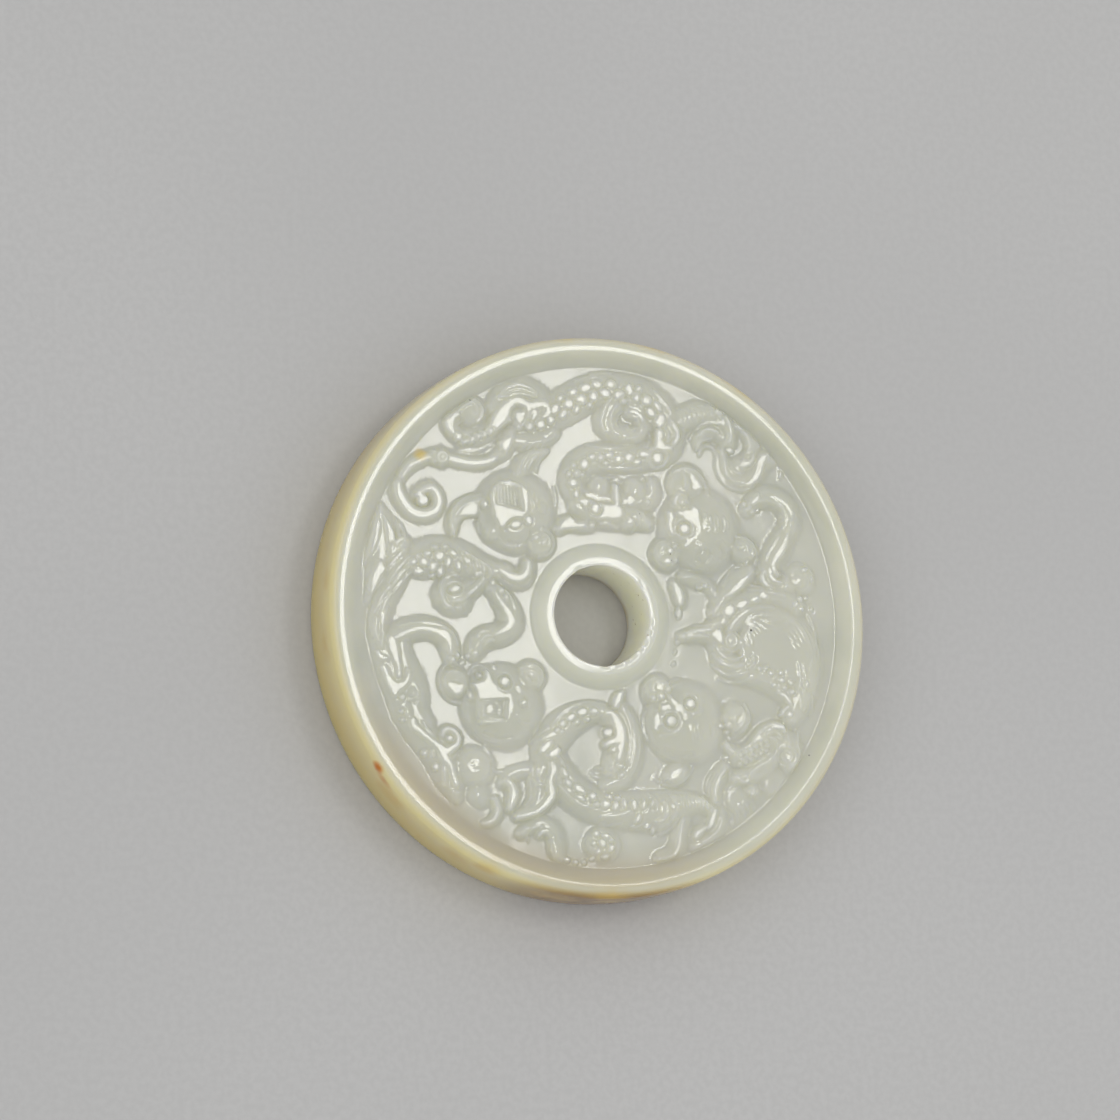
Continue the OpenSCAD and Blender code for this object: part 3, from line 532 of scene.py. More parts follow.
    # tendril with the spiral end
    plate(0.56, 0.3, [(-10.25, 17.4), (-9.5, 17.8), (-8.9, 18.05), (-9.0, 17.4), (-9.2, 16.9), (-9.6, 16.35), (-10.1, 16.7)])
    mound(0.42, [(-8.9, 18.4, 0.7), (-9.4, 17.4, 1.0), (-9.9, 16.5, 0.9), (-10.8, 15.9, 0.6)])
    band(0.48, 0.5, [(-10.9, 15.75, 0.16), (-11.5, 15.4, 0.2), (-12.5, 15.2, 0.22), (-14, 15.25, 0.24), (-15.5, 15.55, 0.22)])
    mound(0.13, [(-10.9, 17.2, 0.5), (-11.8, 16.8, 0.6), (-13, 16.5, 0.6), (-14.5, 16.5, 0.4)])
    boss(-16.35, 15.65, 1.15, 0.38, foot=0.5, rise=0.2)
    line(0.12, 0.1, *ring(-16.35, 15.65, 0.46), foot=0.12)
    band(0.54, 0.4, [(-17.15, 16.0, 0.15), (-17.15, 15.35, 0.16)])
    band(0.5, 0.55, [(-17.6, 15.6, 0.1), (-17.9, 15.6, 0.16), (-18.8, 15.2, 0.18), (-19.6, 14.8, 0.17), (-20.2, 14.2, 0.15),
                     (-20.6, 13.6, 0.1)])
    band(0.52, 0.6, [(-21, 12.9, 0.1), (-21, 12.2, 0.22), (-20.8, 11.6, 0.27), (-20.3, 10.8, 0.29), (-19.6, 10.1, 0.29),
                     (-18.6, 9.8, 0.28), (-17.6, 10, 0.26), (-17, 10.5, 0.24), (-16.8, 11.2, 0.22), (-17, 12, 0.19),
                     (-17.5, 12.5, 0.17), (-18.1, 12.4, 0.14), (-18.7, 12.0, 0.12), (-18.9, 11.8, 0.08)])
    beads(0.4, [(-18.45, 11.25, 0.54, 0.48, 0)], moat=0.1)
    # leg, claw and flame
    mound(0.5, [(8.4, 19.9, 1.2), (9.6, 20.5, 1.4), (10.9, 20.9, 1.4), (12.4, 21.0, 1.4), (13.7, 20.4, 1.3), (14.3, 19.3, 1.1),
                (14.3, 18.1, 0.9)])
    for k in range(5):
        line(0.08, 0.06, (8.6 + 0.55 * k, 21.3 + 0.1 * k), (9.1 + 0.55 * k, 20.6 + 0.1 * k), (9.2 + 0.55 * k, 19.8 + 0.15 * k), foot=0.12)
    for k in range(4):
        line(0.08, 0.06, (11.7 + 0.5 * k, 21.9 - 0.1 * k), (11.9 + 0.5 * k, 21.4 - 0.1 * k), (12.0 + 0.5 * k, 20.9 - 0.1 * k), foot=0.12)
    beads(0.1, [(13.3, 21.2, 0.36, 0.2, -20), (14.5, 17.4, 0.36, 0.24, -20)])
    line(0.14, 0.18, (14.05, 20.7), (14.35, 20.1), (14.5, 19.4), (14.5, 18.8), (14.3, 18.2), foot=0.18)
    mound(0.4, [(11.0, 17.7, 0.5), (11.3, 18.7, 0.8), (12.1, 19.2, 0.95), (13.0, 19.2, 0.95), (13.6, 18.7, 0.8)])
    line(0.13, 0.12, (10.85, 17.3), (11.0, 18.0), (11.6, 18.35), (12.4, 18.5), foot=0.14)
    line(0.13, 0.12, (11.15, 18.8), (11.7, 19.3), (12.4, 19.45), (13.1, 19.2), foot=0.14)
    line(0.08, 0.07, (10.2, 18.3), (10.6, 19.1), (11.3, 19.8), (12.3, 20.1), (13.2, 20.0), foot=0.14)
    mound(0.36, [(13.6, 17.3, 0.6), (13.85, 16.0, 0.75), (14.15, 15.0, 0.95), (14.9, 14.5, 1.05), (15.9, 14.4, 1.1), (17.0, 15.2, 1.3),
                 (17.8, 16.3, 1.2), (19.0, 16.8, 0.9)])
    line(0.15, 0.14, (11.2, 16.8), (11.4, 17.45), (12.05, 17.75), (12.75, 17.5), (13.05, 16.8), (13.05, 15.5), (13.5, 14.4),
         (14.3, 13.7), (15.2, 13.4), (16.2, 13.4), (17.0, 13.8), foot=0.18, ends=(0.3, 0.3))
    line(0.06, 0.07, (13.9, 16.6), (13.85, 15.6), (14.1, 14.8), (14.9, 14.2), (15.9, 14.2), foot=0.16, lit=0.4)
    plate(0.46, 0.2, [(15.5, 13.8), (16.2, 14.15), (16.75, 14.8), (17.1, 15.6), (17.4, 16.5), (17.9, 17.1), (18.7, 17.1), (18.25, 16.3),
                      (17.95, 15.3), (17.4, 14.35), (16.6, 13.75)])
    line(0.08, 0.07, (19.3, 16.6), (19.9, 16.0), (20.05, 15.3), (19.9, 14.6), foot=0.16)
    boss(15.4, 15.7, 1.2, 0.3, foot=0.6, rise=0.14)
    line(0.12, 0.12, (14.55, 16.3), (14.5, 15.7), (14.85, 15.2), (15.5, 15.0), foot=0.14)
    plate(0.5, 0.16, [(15.3, 15.85), (15.8, 16.45), (16.5, 16.4), (17.0, 17.2), (17.2, 16.6), (16.7, 15.85), (15.95, 15.55)],
          tilt=(0.012, 0.0))
    mound(0.4, [(15.4, 20.0, 0.6), (16.4, 19.3, 0.9), (17.0, 18.3, 1.0), (16.9, 17.3, 0.9), (16.2, 16.6, 0.7)])
    line(0.08, 0.09, (15.9, 19.3), (16.5, 18.6), (16.6, 17.8), (16.3, 17.2), foot=0.16)
    line(0.07, 0.07, (16.6, 19.6), (17.3, 18.8), (17.6, 17.9), foot=0.16)


def left_beast():
    """Beast down the left side, with its wing, scaled neck, legs and forked tail."""
    # wing
    mound(0.4, [(-22.9, 10.2, 0.7), (-22.9, 8.6, 1.6), (-22.9, 6.6, 2.0), (-23.2, 4.6, 2.0), (-23.8, 2.6, 1.4), (-24.4, 1.0, 0.8)])
    plate(0.46, 0.22, [(-23.3, 9.9), (-22.95, 8.7), (-23.2, 7.2), (-23.6, 6.2), (-24.3, 5.2), (-24.75, 4.3), (-24.5, 5.8),
                      (-24.0, 7.6)])
    plate(0.52, 0.2, [(-22.55, 9.5), (-22.0, 8.8), (-21.6, 8.0), (-21.45, 7.0), (-21.6, 6.0), (-21.85, 5.3), (-22.2, 6.3),
                      (-22.35, 7.8)])
    plate(0.56, 0.2, [(-23.3, 4.95), (-22.85, 4.9), (-22.5, 4.2), (-22.85, 3.3), (-23.45, 2.3), (-24.0, 1.6), (-24.45, 2.2),
                      (-24.2, 3.3), (-23.8, 4.1)])
    line(0.1, 0.07, (-21.25, 9.3), (-20.95, 8.3), (-20.95, 7.2), (-21.2, 6.3), foot=0.16)
    line(0.1, 0.06, (-20.75, 8.9), (-20.4, 8.0), (-20.45, 7.2), foot=0.16)
    # strands from the neck down the side
    mound(0.52, [(-20.6, 6.9, 1.0), (-20.9, 5.3, 1.5), (-21.6, 3.8, 1.7), (-22.5, 2.0, 1.5), (-23.1, 0.2, 1.4), (-23.4, -1.8, 1.4),
                 (-22.9, -4.0, 1.6), (-22.2, -6.2, 1.7), (-21.3, -8.3, 1.8), (-20.8, -10.2, 1.8)])
    for dx, dy, far in ((0.0, 0.0, 1.0), (0.25, -0.55, 1.15), (0.5, -1.1, 1.1), (-0.45, 0.75, 0.6), (-0.55, 1.4, 0.45), (-0.6, 2.0, 0.35)):
        line(0.1, 0.15, (-20.1 + dx, 5.4 + dy), (-20.9 + dx - 0.3 * far, 4.8 + dy - 0.5 * far), (-21.4 + dx - 0.8 * far, 4.1 + dy - 1.1 * far),
             foot=0.12, ends=(0.5, 0.3))
    for a, b, c in (((-22.1, 2.6), (-22.9, 1.5), (-23.7, -0.2)), ((-22.0, 1.8), (-22.8, 0.5), (-23.2, -1.0)),
                    ((-22.4, 0.4), (-22.9, -0.8), (-23.0, -2.0)), ((-24.0, 0.3), (-24.15, -1.0), (-24.0, -2.6)),
                    ((-23.6, -0.8), (-23.7, -1.8), (-23.5, -3.0)), ((-22.9, -2.2), (-23.1, -3.0), (-23.1, -3.7))):
        line(0.1, 0.14, a, b, c, foot=0.13, ends=(0.5, 0.3))
    cut(0.1, 0.05, (-22.2, 4.4), (-23.0, 3.1), (-23.9, 1.2), (-24.3, -0.6))
    # neck
    mound(0.58, [(-20.2, 5.0, 1.3), (-18.6, 5.3, 2.0), (-16.6, 5.5, 2.2), (-14.6, 5.2, 2.1), (-12.8, 4.6, 1.6), (-11.2, 4.3, 1.2),
                 (-9.8, 4.2, 1.0)], 0.9)
    beads(0.1, [(-19.65, 5.0, 0.3, 0.25, 0), (-18.5, 5.05, 0.46, 0.4, -10), (-17.55, 4.6, 0.5, 0.4, 70),
                (-16.9, 5.65, 0.5, 0.44, -30), (-18.15, 5.85, 0.34, 0.22, 10), (-19.05, 4.05, 0.5, 0.24, 5),
                (-16.8, 4.05, 0.38, 0.28, 80), (-16.0, 5.1, 0.5, 0.28, 80), (-15.5, 5.95, 0.42, 0.24, -35),
                (-14.95, 4.7, 0.46, 0.26, 100), (-17.6, 3.7, 0.3, 0.16, 10), (-14.1, 5.3, 0.4, 0.22, -60),
                (-17.3, 6.5, 0.3, 0.16, 0), (-16.2, 6.6, 0.3, 0.16, -10)])
    for k in range(4):
        line(0.09, 0.06, (-14.9 + 0.75 * k, 6.5 - 0.42 * k), (-14.0 + 0.75 * k, 5.8 - 0.4 * k), (-13.7 + 0.72 * k, 4.9 - 0.3 * k),
             (-14.0 + 0.75 * k, 4.1 - 0.2 * k), foot=0.16)
    band(0.6, 0.6, [(-10.6, 4.5, 0.08), (-9.9, 4.0, 0.2), (-9.1, 3.65, 0.3), (-8.3, 3.7, 0.28), (-7.75, 4.3, 0.22), (-7.6, 5.2, 0.1)])
    mound(0.45, [(-10.6, 4.2, 1.1), (-9.2, 3.6, 1.15), (-8.0, 3.8, 1.1), (-7.5, 5.0, 0.8)])
    cut(0.12, 0.06, (-10.6, 3.9), (-9.5, 3.2), (-8.4, 3.1), (-7.4, 3.7))
    # face
    boss(-15.5, 1.75, 2.3, 0.36, foot=0.9, rise=0.24)
    mound(0.5, [(-14.6, 2.2, 1.3), (-13.2, 2.9, 1.1), (-12.0, 3.7, 0.9)])
    line(0.14, 0.17, (-16.75, 1.9), (-16.7, 2.6), (-16.3, 3.3), (-15.7, 3.75), (-15.1, 3.75), foot=0.18, ends=(0.5, 0.3))
    cut(0.12, 0.05, *ring(-15.4, 2.35, 0.78, squash=0.72, turn=15), foot=0.12)
    beads(0.12, [(-15.4, 2.35, 0.5, 0.32, 15)], moat=0.1)
    line(0.1, 0.08, *ring(-15.4, 2.35, 1.05, 200, 330, squash=0.75, turn=15), foot=0.12)
    line(0.14, 0.15, (-16.7, 1.7), (-16.5, 1.1), (-16.1, 0.65), (-15.8, 0.6), foot=0.16)
    line(0.15, 0.17, (-15.7, 1.15), (-14.9, 1.2), (-14.3, 1.6), (-13.6, 2.15), (-12.9, 2.8), (-12.35, 3.5), foot=0.16, ends=(0.5, 0.6))
    cut(0.1, 0.05, (-14.4, 2.2), (-13.7, 2.7), (-13.1, 3.3))
    beads(0.08, [(-15.0, 0.55, 0.3, 0.14, 0), (-12.9, 3.9, 0.3, 0.16, 40)])
    # hind leg
    mound(0.5, [(-11.4, 2.6, 0.9), (-10.4, 1.6, 1.2), (-9.6, 0.2, 1.35), (-9.5, -1.0, 1.35), (-10.6, -2.0, 1.2), (-11.9, -2.3, 1.2),
                (-12.9, -2.9, 1.2), (-13.5, -4.0, 0.9)])
    band(0.57, 0.45, [(-11.1, 2.1, 0.06), (-10.7, 1.4, 0.12), (-10.2, 0.7, 0.18), (-9.75, 0.0, 0.28), (-9.5, -0.7, 0.36),
                      (-9.8, -1.3, 0.34), (-10.5, -1.75, 0.22), (-11.2, -2.1, 0.1)])
    line(0.09, 0.06, (-10.9, 2.9), (-10.1, 2.4), (-9.4, 1.6), (-9.0, 0.5), foot=0.16)
    beads(0.1, [(-10.45, 2.35, 0.3, 0.18, -40), (-9.95, 1.65, 0.28, 0.18, -60), (-11.3, 3.2, 0.25, 0.16, 0)])
    for k in range(3):
        line(0.11, 0.09, (-13.1 + 0.35 * k, -2.3 - 0.5 * k), (-12.6 + 0.3 * k, -1.8 - 0.5 * k), (-12.0 + 0.25 * k, -1.7 - 0.5 * k), foot=0.13)
    line(0.08, 0.06, (-13.7, -2.6), (-13.9, -3.4), (-13.8, -4.3))
    # fore leg
    mound(0.5, [(-22.2, -3.0, 1.3), (-20.8, -2.1, 1.25), (-19.2, -1.6, 1.2), (-17.6, -1.7, 1.2), (-16.4, -2.4, 1.2), (-15.9, -3.5, 1.1),
                (-15.8, -4.5, 0.9)])
    mound(0.42, [(-20.9, -2.8, 1.0), (-20.8, -4.4, 1.2), (-20.3, -6.2, 1.5), (-19.7, -8.0, 1.5), (-19.6, -9.8, 1.4), (-18.8, -11.2, 1.3)])
    band(0.57, 0.4, [(-22.0, -2.8, 0.12), (-21.2, -2.4, 0.2), (-20.2, -1.95, 0.22), (-19.2, -1.65, 0.2), (-18, -1.75, 0.2),
                     (-17.2, -1.95, 0.24), (-16.5, -2.25, 0.36), (-16.1, -2.7, 0.26), (-15.97, -3.3, 0.18), (-16.0, -3.9, 0.1)])
    line(0.09, 0.06, (-21.2, -1.5), (-19.8, -1.15), (-18.0, -1.05), (-16.6, -1.4), (-15.5, -2.2), (-15.1, -3.2), foot=0.16)
    band(0.6, 0.4, [(-22.2, -2.7, 0.2), (-22.0, -3.3, 0.42), (-21.8, -4.1, 0.36), (-21.6, -4.9, 0.22), (-21.4, -5.7, 0.17), (-21.4, -6.4, 0.18)])
    band(0.58, 0.3, [(-23.55, -4.1, 0.12), (-23.25, -4.6, 0.18), (-22.6, -4.72, 0.14)])
    band(0.6, 0.4, [(-23.0, -5.6, 0.2), (-22.65, -6.4, 0.22), (-22.3, -7.1, 0.3), (-21.9, -7.7, 0.42), (-21.85, -8.3, 0.16)])
    band(0.6, 0.4, [(-21.9, -7.6, 0.34), (-21.2, -7.4, 0.3), (-20.65, -6.95, 0.2), (-20.4, -6.4, 0.14), (-20.4, -5.9, 0.06)])
    boss(-19.9, -8.2, 1.7, 0.3, foot=0.8, rise=0.3, point=1.0)
    cut(0.05, 0.04, *ring(-20.1, -8.0, 1.05, -110, 40), foot=0.14)
    cut(0.05, 0.04, *ring(-20.1, -8.0, 0.6, -110, 40), foot=0.12)
    beads(0.1, [(-21.1, -8.55, 0.26, 0.24, 0), (-21.2, -10.0, 0.2, 0.12, 10), (-21.1, -10.8, 0.2, 0.14, 0)])
    # tail
    mound(0.5, [(-21.4, -9.2, 1.2), (-20.9, -10.6, 1.4), (-19.8, -11.8, 1.7), (-18.6, -12.9, 1.9), (-17.4, -14.2, 2.1), (-16.8, -15.6, 2.1),
                (-16.4, -17.0, 1.8), (-16.0, -18.3, 1.3)])
    line(0.09, 0.06, (-18.95, -11.0), (-18.5, -11.7), (-17.9, -12.3), foot=0.14)
    band(0.64, 0.36, [(-20.05, -10.9, 0.22), (-19.95, -11.4, 0.26), (-19.3, -11.95, 0.2), (-18.5, -12.6, 0.18), (-17.7, -13.2, 0.2),
                      (-17.05, -13.85, 0.36), (-16.75, -14.6, 0.34), (-16.25, -15.3, 0.2), (-16.05, -16.2, 0.2), (-15.75, -17.1, 0.2)])
    band(0.64, 0.34, [(-16.7, -13.95, 0.3), (-16.1, -13.6, 0.22), (-15.5, -13.1, 0.16), (-15.35, -12.5, 0.13), (-15.7, -11.95, 0.11),
                      (-16.3, -11.65, 0.1), (-16.8, -11.8, 0.08), (-17.0, -12.3, 0.05)])
    boss(-16.2, -12.5, 1.4, 0.34, foot=0.6, rise=0.16, point=1.0)
    beads(0.14, [(-16.25, -12.6, 0.3, 0.26, 0), (-17.75, -15.45, 0.3, 0.28, 0)])
    cut(0.05, 0.04, *ring(-18.85, -14.1, 0.5), foot=0.12)
    beads(0.06, [(-18.85, -14.1, 0.2, 0.22, 0), (-18.05, -14.1, 0.12, 0.34, 0)])
    line(0.1, 0.09, (-16.1, -14.6), (-15.65, -14.1), (-15.0, -13.75), foot=0.12)
    line(0.09, 0.1, (-16.9, -15.5), (-16.85, -16.2), (-16.75, -17.3), foot=0.14, ends=(0.9, 0.8))
    line(0.07, 0.06, (-17.7, -16.9), (-17.8, -17.6), (-17.6, -18.4), foot=0.16)
    line(0.1, 0.1, (-16.05, -17.85), (-15.4, -17.95), foot=0.14)
    boss(-13.7, -15.3, 2.4, 0.3, foot=1.0, rise=0.3, point=1.0)
    cut(0.05, 0.05, *ring(-13.6, -15.3, 1.75, -40, 110), foot=0.14)
    cut(0.06, 0.12, *ring(-13.7, -15.3, 0.25), foot=0.3)
    line(0.08, 0.06, (-12.6, -13.3), (-12.1, -13.9), (-12.0, -14.6), foot=0.16)
    line(0.08, 0.1, (-11.7, -15.5), (-11.3, -15.8), (-10.8, -15.75), foot=0.16)
    boss(-13.4, -18.2, 1.7, 0.12, foot=1.0, rise=0.22, point=1.0)
    band(0.42, 0.5, [(-11.6, -18.6, 0.04), (-11.35, -19.4, 0.1), (-11.5, -20.1, 0.12), (-12.1, -20.8, 0.12), (-12.9, -21, 0.05)])
    band(0.5, 0.5, [(-10.4, -16.7, 0.08), (-9.85, -17.3, 0.2), (-9.7, -18.1, 0.26), (-9.9, -18.8, 0.2), (-10.1, -19.4, 0.06)])


def low_beast():
    """Beast along the bottom, with its curled neck and face, scaled back, ribbed tail and leg."""
    mound(0.56, [(-0.2, -9.6, 1.0), (-1.6, -9.75, 1.3), (-3.1, -10.3, 1.55), (-4.6, -11.4, 1.75), (-5.7, -12.8, 1.9),
                 (-5.8, -14.4, 1.9), (-5.0, -16.0, 1.9), (-3.4, -17.7, 1.9), (-1.3, -18.9, 1.9), (1.2, -19.4, 1.9),
                 (3.8, -19.6, 2.1), (6.0, -19.6, 2.2), (8.2, -19.0, 1.6), (10.0, -18.9, 1.2), (11.2, -19.5, 0.9)])
    beads(0.11, [(-4.4, -10.95, 0.34, 0.24, 40), (-3.5, -10.3, 0.46, 0.28, 30), (-2.3, -9.72, 0.48, 0.32, 15),
                 (-1.1, -9.62, 0.34, 0.26, 0), (-2.85, -10.75, 0.26, 0.18, 30), (-1.8, -10.45, 0.28, 0.17, 10),
                 (-5.0, -11.6, 0.24, 0.16, 40)])
    line(0.09, 0.08, (-5.4, -11.0), (-4.6, -10.0), (-3.5, -9.25), (-2.2, -8.8), (-0.9, -8.7), (0.3, -9.0))
    line(0.08, 0.06, (-7.8, -12.9), (-7.1, -12.3), (-6.5, -11.8), (-5.9, -11.3))
    # face
    mound(0.52, [(0.0, -9.8, 1.0), (1.2, -10.6, 1.4), (1.8, -12.2, 1.6), (1.5, -14.0, 1.6), (0.9, -15.4, 1.3)])
    mound(0.42, [(2.0, -9.3, 0.8), (2.9, -11.0, 1.1), (3.1, -13.0, 1.2), (2.7, -15.0, 1.2), (1.6, -16.4, 1.1), (0.2, -17.0, 0.9)])
    band(0.64, 0.4, [(0.2, -9.75, 0.08), (0.7, -9.85, 0.2), (1.15, -10.3, 0.32), (1.5, -11.0, 0.4), (1.7, -11.8, 0.44),
                     (1.62, -12.6, 0.46), (1.5, -13.3, 0.4), (1.5, -13.9, 0.26), (1.45, -14.4, 0.1)])
    band(0.63, 0.35, [(1.4, -12.4, 0.34), (0.9, -12.55, 0.28), (0.5, -12.75, 0.18), (0.15, -12.95, 0.1)])
    cut(0.12, 0.08, *ring(0.4, -11.7, 0.62), foot=0.16)
    beads(0.12, [(0.4, -11.7, 0.38, 0.36, 0), (0.85, -13.45, 0.26, 0.2, 20)], moat=0.3)
    line(0.1, 0.12, (0.45, -14.1), (0.7, -14.6), (0.8, -15.1), (0.5, -15.4), foot=0.16)
    beads(0.1, [(1.6, -15.1, 0.34, 0.16, 10), (1.35, -9.05, 0.26, 0.22, 0), (1.7, -16.0, 0.24, 0.14, 30)])
    line(0.1, 0.07, (-1.0, -15.35), (-0.6, -15.25), (-0.2, -15.35), foot=0.14)
    line(0.08, 0.06, (-1.5, -15.6), (-1.0, -16.1), (-0.3, -16.2), (0.5, -15.9), foot=0.16)
    band(0.5, 0.45, [(2.0, -7.6, 0.05), (1.75, -8.0, 0.2), (1.5, -8.5, 0.22), (1.3, -8.9, 0.08)])
    for k, (a, b, c, d) in enumerate((((2.1, -9.2), (2.75, -10.9), (2.85, -12.8), (2.5, -14.6)),
                                      ((2.7, -9.6), (3.2, -11.3), (3.25, -13.2), (2.8, -15.2)),
                                      ((3.5, -11.0), (3.75, -12.6), (3.5, -14.4), (2.8, -16.0)))):
        line(0.045, 0.06, a, b, c, d, foot=0.16, lit=0.3)
    # shoulder and back
    band(0.66, 0.35, [(-6.5, -12.5, 0.06), (-6.0, -12.25, 0.16), (-5.4, -12.0, 0.22), (-4.8, -11.85, 0.18), (-4.4, -11.75, 0.06)])
    plate(0.68, 0.2, [(-6.95, -13.9), (-6.85, -13.3), (-6.3, -12.8), (-5.65, -12.6), (-5.5, -12.95), (-5.95, -13.5), (-6.5, -13.95)])
    plate(0.68, 0.2, [(-6.2, -14.15), (-5.7, -13.65), (-5.05, -13.25), (-4.7, -13.55), (-4.95, -14.15), (-5.6, -14.4)])
    line(0.09, 0.07, (-4.9, -14.2), (-4.5, -14.7), (-4.3, -15.2))
    beads(0.12, [(-4.35, -15.85, 0.52, 0.24, 120), (-4.0, -16.85, 0.42, 0.24, 145), (-2.8, -17.5, 0.66, 0.34, 142),
                 (-2.75, -18.35, 0.48, 0.2, 155), (-1.45, -18.15, 0.36, 0.3, 120), (-0.15, -18.95, 0.5, 0.36, 0),
                 (-1.05, -18.95, 0.26, 0.2, 0), (0.95, -19.1, 0.44, 0.26, 75), (0.35, -18.2, 0.28, 0.18, 0),
                 (1.9, -18.8, 0.46, 0.2, 100), (2.95, -19.0, 0.48, 0.24, 95), (3.95, -18.95, 0.44, 0.2, 80),
                 (1.3, -18.3, 0.24, 0.14, 0), (3.3, -20.3, 0.52, 0.2, 60), (4.95, -18.75, 0.4, 0.14, 75)])
    line(0.1, 0.1, (-5.0, -17.1), (-4.2, -17.9), (-3.4, -18.6), (-2.5, -19.05), (-1.4, -19.3), foot=0.16)
    line(0.1, 0.12, (-0.6, -20.2), (0.5, -20.1), (1.5, -19.95), (2.5, -19.6), foot=0.16)
    line(0.07, 0.06, (-0.8, -20.9), (0.4, -20.95), (1.6, -20.8))
    line(0.07, 0.06, (2.6, -21.2), (3.4, -21.1), (4.2, -20.6))
    # leg
    mound(0.5, [(-6.6, -15.4, 1.3), (-6.9, -16.9, 1.3), (-7.0, -18.3, 1.2), (-7.9, -19.5, 0.9), (-9.3, -20.1, 0.5)])
    line(0.08, 0.06, (-7.6, -15.3), (-7.7, -16.2), (-7.1, -17.0), (-6.5, -17.1), foot=0.16)
    line(0.08, 0.06, (-7.2, -15.4), (-7.2, -16.0), (-6.8, -16.5), foot=0.14)
    band(0.66, 0.4, [(-5.65, -15.0, 0.2), (-5.5, -15.5, 0.3), (-5.7, -16.1, 0.2), (-5.9, -16.8, 0.24), (-5.8, -17.5, 0.32),
                     (-5.8, -18.1, 0.3), (-6.2, -18.7, 0.26), (-6.8, -19.35, 0.2), (-7.6, -19.85, 0.15), (-8.5, -20.1, 0.12),
                     (-9.4, -20.3, 0.06)])
    mound(0.3, [(-10.7, -16.9, 0.6), (-10.0, -16.1, 0.8), (-8.9, -15.7, 0.8), (-7.6, -15.6, 1.0)])
    line(0.06, 0.06, (-7.9, -16.4), (-7.75, -17.4), (-7.85, -18.4), (-8.4, -19.1), foot=0.2)
    # tail
    line(0.12, 0.19, (6.15, -18.65), (6.4, -19.2), (6.35, -19.8), (6.0, -20.35), (5.3, -20.6), foot=0.18, ends=(0.5, 0.3))
    line(0.1, 0.1, (7.55, -18.75), (7.45, -19.5), (7.05, -20.2), (6.5, -20.8), (5.7, -21.2), foot=0.18)
    line(0.08, 0.07, (7.5, -20.3), (7.0, -21.1), (6.3, -21.65), (5.6, -21.95), foot=0.18)
    line(0.09, 0.07, (4.7, -17.9), (5.2, -18.4), (5.4, -19.0), (5.3, -19.6), foot=0.16)
    line(0.07, 0.06, (5.6, -17.7), (6.6, -17.6), (7.9, -17.65), (9.2, -17.95), (10.4, -18.5), (11.3, -19.2), foot=0.18)
    beads(0.11, [(4.35, -21.1, 0.3, 0.22, 20), (4.95, -21.5, 0.36, 0.14, 90), (10.75, -19.0, 0.36, 0.14, 95)])
    for k in range(10):
        line(0.12, 0.07, (6.9 + 0.38 * k, -17.95 - 0.02 * k), (7.25 + 0.38 * k, -18.35 - 0.03 * k), (7.45 + 0.36 * k, -18.95 - 0.03 * k),
             foot=0.09)
    boss(10.1, -20.2, 1.4, 0.26, foot=0.9, rise=0.0)
    band(0.54, 0.42, [(11.65, -19.45, 0.06), (11.45, -19.9, 0.16), (11.2, -20.5, 0.2), (11.0, -20.95, 0.14), (10.7, -21.2, 0.05)])
    band(0.5, 0.4, [(10.4, -21.2, 0.06), (10.0, -21.5, 0.18), (9.65, -21.8, 0.18), (9.45, -22.1, 0.06)])
    mound(0.34, [(8.5, -19.8, 0.9), (7.9, -21.2, 1.0), (7.7, -22.8, 1.0), (6.8, -23.9, 0.9), (5.6, -24.3, 0.7)])
    line(0.12, 0.16, (8.2, -20.3), (7.9, -21.2), (7.75, -22.1), (7.6, -23.1), (7.1, -23.9), (6.4, -24.3), (5.6, -24.35), foot=0.18)
    mound(0.34, [(12.2, -19.6, 0.9), (12.0, -21.0, 1.0), (11.0, -22.3, 1.0), (9.6, -23.0, 0.9)])
    line(0.07, 0.06, (12.3, -20.4), (11.9, -21.4), (11.1, -22.1), (10.2, -22.6), foot=0.2)
    # flame and flower on the lower left
    mound(0.36, [(-9.0, -21.9, 0.6), (-8.0, -21.3, 0.8), (-6.8, -20.9, 0.9), (-5.7, -21.6, 1.0), (-5.3, -22.9, 1.0), (-5.1, -24.2, 0.8)])
    band(0.42, 0.3, [(-7.1, -22.1, 0.05), (-6.8, -21.75, 0.12), (-6.3, -21.7, 0.16), (-5.95, -22.1, 0.08)])
    band(0.44, 0.34, [(-5.75, -22.6, 0.05), (-5.6, -23.1, 0.22), (-5.55, -23.6, 0.28), (-5.5, -24.1, 0.12)])
    line(0.07, 0.06, (-8.2, -22.6), (-8.3, -22.0), (-7.8, -21.4), (-7.0, -21.2), foot=0.16)
    beads(0.2, [(-4.2, -24.5, 0.3, 0.22, 0), (-3.3, -24.75, 0.26, 0.18, 0), (-2.4, -24.7, 0.2, 0.16, 0)], moat=0.1)
    boss(-0.5, -22.9, 2.0, 0.3, foot=0.8, rise=0.2)
    beads(0.13, [(-1.1, -21.9, 0.28, 0.26, 0), (-0.1, -22.15, 0.48, 0.22, -10), (-1.4, -22.85, 0.2, 0.2, 0),
                 (-0.55, -22.85, 0.4, 0.28, 120), (0.4, -23.35, 0.36, 0.24, 50), (-1.0, -23.7, 0.24, 0.2, 0),
                 (-0.2, -24.2, 0.34, 0.18, 10), (-1.6, -24.4, 0.26, 0.16, 0), (0.5, -22.5, 0.18, 0.14, 0)], foot=0.11)
    line(0.08, 0.06, (0.6, -24.4), (1.1, -23.8), (1.3, -23.0), (1.1, -22.2), foot=0.16)
    line(0.07, 0.05, (-2.2, -23.6), (-2.3, -22.8), (-1.9, -22.0), foot=0.16)


